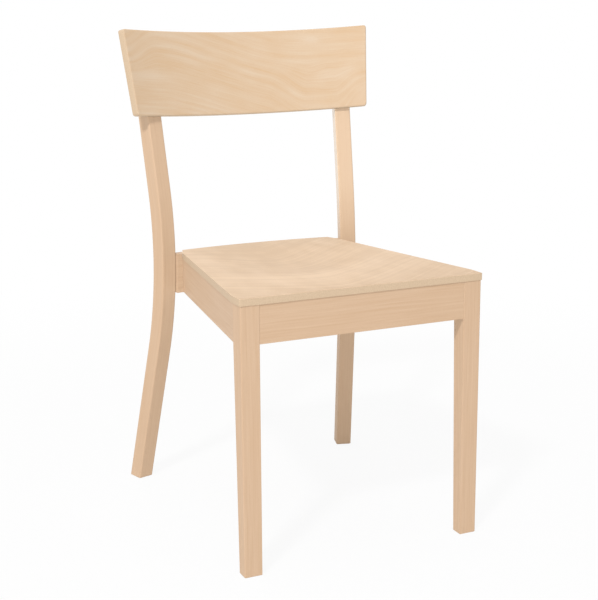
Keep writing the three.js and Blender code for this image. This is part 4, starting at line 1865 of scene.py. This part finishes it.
@dataclass
class Fixings:
    """The screws of the seat frame and the backrest, and the plugs over the backrest's screws."""

    finishes: Finishes
    posts: RearPosts
    panel: Backrest
    shank_radius: float = 0.0019
    core_radius: float = 0.0013
    head_radius: float = 0.0039
    head_rim: float = 0.0006
    head_ease: float = 0.0003
    head_ease_height: float = 0.0002
    head_height: float = 0.0029
    neck: float = 0.003
    neck_share: float = 0.6
    tip: float = 0.004
    tip_end: float = 0.08
    pitch: float = 0.0018
    ridge_half: float = 0.26
    recess_reach: float = 0.0023
    recess_width: float = 0.0011
    recess_depth: float = 0.0017
    recess_end: float = 0.45
    recess_overrun: float = 0.001
    plug_gap: float = 0.00008
    plug_length: float = 0.006
    plug_crown: float = 0.0004
    plug_crown_angles: tuple[float, ...] = (8.0, 25.0, 45.0, 65.0, 90.0)
    plug_ease: float = 0.0004
    plug_sides: int = 40
    sides: int = 20
    steps_per_turn: int = 8
    widest_turn: float = math.pi / 2
    seed: int = 7
    levels: tuple[str, str] = ("lower", "upper")
    stems: tuple[str, ...] = (
        "front_block_screw_1",
        "front_block_screw_2",
        "rear_block_screw_1",
        "rear_block_screw_2",
        "seat_screw_front",
        "seat_screw_rear",
        "backrest_screw_lower",
        "backrest_screw_upper",
    )

    @staticmethod
    def line_of(name: str) -> tuple[Vector, Vector, float]:
        """Finds how a CAD screw lies.

        Args:
            name: of its node.

        Returns:
            The middle of its head's end, its direction and its length.
        """
        node = frame["nodes"][name]
        places = [node.matrix_world @ vertex.co for vertex in node.data.vertices]
        points = [Vector(p) for p in {tuple(round(value, 6) for value in p) for p in places}]
        middle = sum(points, Vector()) / len(points)
        tip = max(points, key=lambda point: (point - middle).length)
        direction = (tip - middle).normalized()
        length = max((tip - point).dot(direction) for point in points)
        return tip - direction * length, direction, length

    def thread_radius(self, angle: float, distance: float, length: float) -> float:
        """The radius of a screw's shank at an angle and a distance from its head's end."""
        start, end = self.head_height + self.neck, length - self.tip
        fade = min(max((distance - start) / self.pitch, 0.0), 1.0)
        taper = min(max((length - distance) / self.tip, self.tip_end), 1.0)
        turn = (distance / self.pitch - angle / math.tau) % 1.0
        ridge = max(0.0, 1 - abs(turn - 0.5) / self.ridge_half) * fade
        thread = self.shank_radius - self.core_radius
        plain = self.core_radius + thread * self.neck_share * (1 - fade)
        return (plain + thread * ridge) * (taper if distance > end else 1.0)

    def screw(self, name: str, length: float) -> bpy.types.Object:
        """Makes a countersunk screw with a thread and a cross recess, its head at the origin.

        Args:
            name: of the object.
            length: of the screw.

        Returns:
            The object, which points along +Z.
        """
        angles = [math.tau * k / self.sides for k in range(self.sides)]
        rim = self.head_radius
        profile = ((0.0, rim - self.head_ease), (self.head_ease_height, rim), (self.head_rim, rim))
        rings = [circle([radius] * self.sides, distance) for distance, radius in profile]
        distances = [self.head_height]
        step = self.pitch / self.steps_per_turn
        while distances[-1] + step < length:
            distances.append(distances[-1] + step)
        for distance in (*distances, length):
            radii = [self.thread_radius(angle, distance, length) for angle in angles]
            rings.append(circle(radii, distance))
        return cut(Draft.skin(rings).object(name), self.recess())

    def recess(self) -> list[Draft]:
        """Draws the two arms of the cross recess, which narrow downwards."""
        arms = []
        for turned in (False, True):
            rings = []
            for level, share in ((-self.recess_overrun, 1.0), (self.recess_depth, self.recess_end)):
                reach, half = self.recess_reach * share, self.recess_width * (1 + share) / 4
                corners = [(-reach, -half), (reach, -half), (reach, half), (-reach, half)]
                if turned:
                    corners = [(-y, x) for x, y in corners]
                rings.append([Vector((x, y, level)) for x, y in corners])
            arms.append(Draft.skin(rings))
        return arms

    def plug(self) -> bpy.types.Object:
        """Makes a plug with a low crown, pointing along +Z, the crown's edge at the origin."""
        radius = self.posts.plug_radius - self.plug_gap
        profile = []
        for angle in map(math.radians, self.plug_crown_angles):
            profile.append((-self.plug_crown * math.cos(angle), radius * math.sin(angle)))
        profile.append((self.plug_length - self.plug_ease, radius))
        profile.append((self.plug_length, radius - self.plug_ease))
        rings = [circle([reach] * self.plug_sides, distance) for distance, reach in profile]
        return Draft.skin(rings).object("plug_pattern")

    def placing_tree(self) -> bpy.types.NodeTree:
        """Draws the tree that sets a fixing at each place, along the place's direction."""
        kinds = {
            "Places": "Geometry",
            "Fixing": "Object",
            "Widest Turn": "Float",
            "Seed": "Int",
            "Finish": "Material",
        }
        pad, given = geometry_tree("fixings_in_place", kinds)
        direction = pad.out(
            "GeometryNodeInputNamedAttribute", {"Name": DIRECTION}, data_type="FLOAT_VECTOR"
        )
        aligned = pad.out("FunctionNodeAlignRotationToVector", {"Vector": direction}, axis="Z")
        limits = {"Max": given["Widest Turn"], "Seed": given["Seed"]}
        chance = pad.put("FunctionNodeRandomValue", limits, data_type="FLOAT")
        angle = Wire(pad, next(socket for socket in chance.outputs if socket.enabled))
        axis = {"Axis": (0.0, 0.0, 1.0), "Angle": angle}
        spin = pad.out("FunctionNodeAxisAngleToRotation", axis)
        turned = pad.out(
            "FunctionNodeRotateRotation",
            {"Rotation": aligned, "Rotate By": spin},
            rotation_space="LOCAL",
        )
        fixing = pad.out("GeometryNodeObjectInfo", {"Object": given["Fixing"]}, output="Geometry")
        copies = {"Points": given["Places"], "Instance": fixing, "Rotation": turned}
        return pad.ended(pad.out("GeometryNodeInstanceOnPoints", copies), given["Finish"])

    def placed(
        self,
        name: str,
        pattern: bpy.types.Object,
        places: Sequence[tuple[Vector, Vector]],
        finish: bpy.types.Material,
        tree: bpy.types.NodeTree,
    ) -> bpy.types.Object:
        """Sets copies of a fixing in the chair, as one mesh.

        Args:
            name: of the piece.
            pattern: the fixing, which points along +Z and is removed afterwards.
            places: where each copy starts and its direction.
            finish: the material.
            tree: the placing tree.

        Returns:
            The piece.
        """
        mesh = bpy.data.meshes.new(name)
        mesh.from_pydata([tuple(place) for place, _ in places], [], [])
        layer = mesh.attributes.new(DIRECTION, "FLOAT_VECTOR", "POINT")
        directions = [value for _, direction in places for value in direction]
        layer.data.foreach_set("vector", directions)
        obj = linked(bpy.data.objects.new(name, mesh))
        values = {"Widest Turn": self.widest_turn, "Seed": self.seed}
        run_tree(obj, tree, {"Fixing": pattern, "Finish": finish, **values})
        bpy.data.objects.remove(pattern)
        return obj

    def build(self) -> None:
        """Builds the screws, a pair of each kind, and the plugs."""
        tree = self.placing_tree()
        steel, raw = self.finishes.steel, self.finishes.raw
        for stem in self.stems:
            nodes = [f"{stem}_{side.word}" for side in Side]
            lines = [self.line_of(name) for name in nodes]
            pattern = self.screw(f"{stem}_pattern", lines[0][2])
            places = [(start, direction) for start, direction, _ in lines]
            screws = self.placed(f"pair_{stem}", pattern, places, steel, tree)
            dressed(screws, steel, Slot.STEEL, nodes)
        places, nodes = [], []
        for (start, direction), level in zip(self.posts.plug_places(self.panel), self.levels):
            for side in Side:
                places.append((side.turn(start), side.turn(direction)))
                nodes.append(f"screw_plug_{level}_{side.word}")

        def upright(point: Vector) -> Vector:
            """A point's place in the timber of the plugs, whose grain runs across the chair."""
            return Vector((point.x, point.z, point.y))

        plugs = self.placed("plugs_backrest", self.plug(), places, raw, tree)
        dressed(plugs, raw, Slot.RAW, nodes, upright)


# Room and light


@dataclass(frozen=True)
class SoftLamp:
    """A soft, square lamp that looks at a point."""

    name: str
    place: tuple[float, float, float]
    power: float
    width: float
    aim: tuple[float, float, float] = (0.0, 0.0, 0.45)

    def light(self) -> None:
        """Puts the lamp in the scene."""
        lamp = bpy.data.lights.new(self.name, "AREA")
        lamp.size = self.width
        lamp.energy = self.power
        obj = linked(bpy.data.objects.new(self.name, lamp))
        direction = Vector(self.aim) - Vector(self.place)
        turn = direction.to_track_quat("-Z", "Y").to_matrix().to_4x4()
        obj.matrix_world = Matrix.Translation(self.place) @ turn


@dataclass(frozen=True)
class Studio:
    """A pale floor in a white room, lit by three lamps and a soft dome, and the camera."""

    floor_reach: float = 30.0
    floor_drop: float = 0.0001
    floor_white: float = 0.9
    floor_glow: float = 0.9
    glow_near: float = 0.5
    glow_far: float = 2.0
    dome: float = 0.585
    lamps: tuple[SoftLamp, ...] = (
        SoftLamp("key", (-4.24, -4.0, 5.97), power=270.0, width=0.8),
        SoftLamp("fill", (-1.64, -3.6, 1.6), power=10.0, width=1.5),
        SoftLamp("top", (0.0, 0.0, 3.5), power=13.0, width=2.0),
    )
    camera_place: tuple[float, float, float] = (-0.929335, -2.03157, 0.896913)
    camera_yaw: float = math.radians(24.741)
    camera_pitch: float = math.radians(13.015)
    camera_roll: float = math.radians(-0.4546)
    camera_lens: float = 77.03
    camera_sensor: float = 36.0
    camera_reach: float = 100.0

    @staticmethod
    def seen_directly(pad: NodePad) -> Wire:
        """Gives 1 where the camera sees a surface, directly, in a gloss or through glass."""
        path = pad.wires(pad.put("ShaderNodeLightPath"))
        return path["Is Camera Ray"] + path["Is Glossy Ray"] + path["Is Transmission Ray"]

    def build_floor(self) -> None:
        """Lays the pale floor, which keeps a faint shadow of the chair."""
        material, pad = blank_material("studio_floor")
        colour = (self.floor_white, self.floor_white, self.floor_white, 1.0)
        matt = pad.out("ShaderNodeBsdfDiffuse", {"Color": colour})
        glow = pad.out("ShaderNodeEmission", {"Color": WHITE, "Strength": 1.0})
        place = pad.out("ShaderNodeTexCoord", output="Object")
        distance = pad.out("ShaderNodeVectorMath", {0: place}, output="Value", operation="LENGTH")
        glow_share = pad.span(distance, self.glow_near, self.glow_far, self.floor_glow, 1.0)
        share = (self.seen_directly(pad) * glow_share).clamped()
        floor = pad.out("ShaderNodeMixShader", {0: share, 1: matt, 2: glow})
        pad.put("ShaderNodeOutputMaterial", {0: floor})
        mesh = bpy.data.meshes.new("floor")
        reach, level = self.floor_reach, -self.floor_drop
        corners = [(x * reach, y * reach, level) for x, y in ((-1, -1), (1, -1), (1, 1), (-1, 1))]
        mesh.from_pydata(corners, [], [(0, 1, 2, 3)])
        mesh.materials.append(material)
        linked(bpy.data.objects.new("floor", mesh))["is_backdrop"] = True

    def build_world(self) -> None:
        """Makes the room white to the eye and a soft dome to the chair."""
        world = bpy.data.worlds.new("studio_room")
        world.use_nodes = True
        world.node_tree.nodes.clear()
        pad = NodePad(world.node_tree)
        dome = pad.out("ShaderNodeBackground", {"Color": WHITE, "Strength": self.dome})
        plain = pad.out("ShaderNodeBackground", {"Color": WHITE, "Strength": 1.0})
        room = pad.out("ShaderNodeMixShader", {0: self.seen_directly(pad), 1: dome, 2: plain})
        pad.put("ShaderNodeOutputWorld", {0: room})
        bpy.context.scene.world = world

    def build_camera(self) -> None:
        """Places the camera at the photograph's view."""
        camera = bpy.data.cameras.new("camera")
        camera.sensor_fit = "HORIZONTAL"
        camera.sensor_width = self.camera_sensor
        camera.lens = self.camera_lens
        camera.clip_end = self.camera_reach
        obj = linked(bpy.data.objects.new("camera", camera))
        level = math.radians(90)
        turn = Matrix.Rotation(-self.camera_yaw, 4, "Z")
        turn = turn @ Matrix.Rotation(level - self.camera_pitch, 4, "X")
        turn = turn @ Matrix.Rotation(self.camera_roll, 4, "Z")
        obj.matrix_world = Matrix.Translation(self.camera_place) @ turn
        bpy.context.scene.camera = obj

    def build(self) -> None:
        """Builds the room, the lamps and the camera."""
        self.build_floor()
        self.build_world()
        for lamp in self.lamps:
            lamp.light()
        self.build_camera()
        bpy.context.scene.view_settings.view_transform = "Standard"


def dress_inner_nodes(finishes: Finishes) -> None:
    """Gives the CAD nodes that stay their finish.

    Args:
        finishes: the chair's materials.
    """
    for name, node in frame["nodes"].items():
        if node.hide_render:
            continue
        for slot in node.material_slots:
            slot.material = finishes.raw_node
        log.info("%s: stays, in %s", name, finishes.raw_node.name)


def write_sizes() -> None:
    """Gathers the CAD box and the box of the dressed chair; the result is not kept."""

    def plain(bounds: Sequence[Sequence[float]]) -> list[list[float]]:
        """The box as plain numbers."""
        return [[float(value) for value in corner] for corner in bounds]

    {"cad": plain(cad_bounds), "visual": plain(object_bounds())}


def main() -> None:
    """Builds the chair and its room."""
    logging.basicConfig(level=logging.INFO, format="%(message)s")
    Studio().build()
    plan = ChairPlan(front=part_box("front_leg_right")[0].y)
    finishes = Finishes.mixed()
    posts = RearPosts(plan, finishes)
    panel = Backrest(plan, finishes)
    panel.stand(posts)
    FrontLegs(plan, finishes).build()
    SeatFrame(plan, finishes, posts).build()
    SeatPanel(plan, finishes).build()
    posts.build(panel)
    panel.build()
    Fixings(finishes, posts, panel).build()
    dress_inner_nodes(finishes)
    write_sizes()


if __name__ == "__main__":
    main()
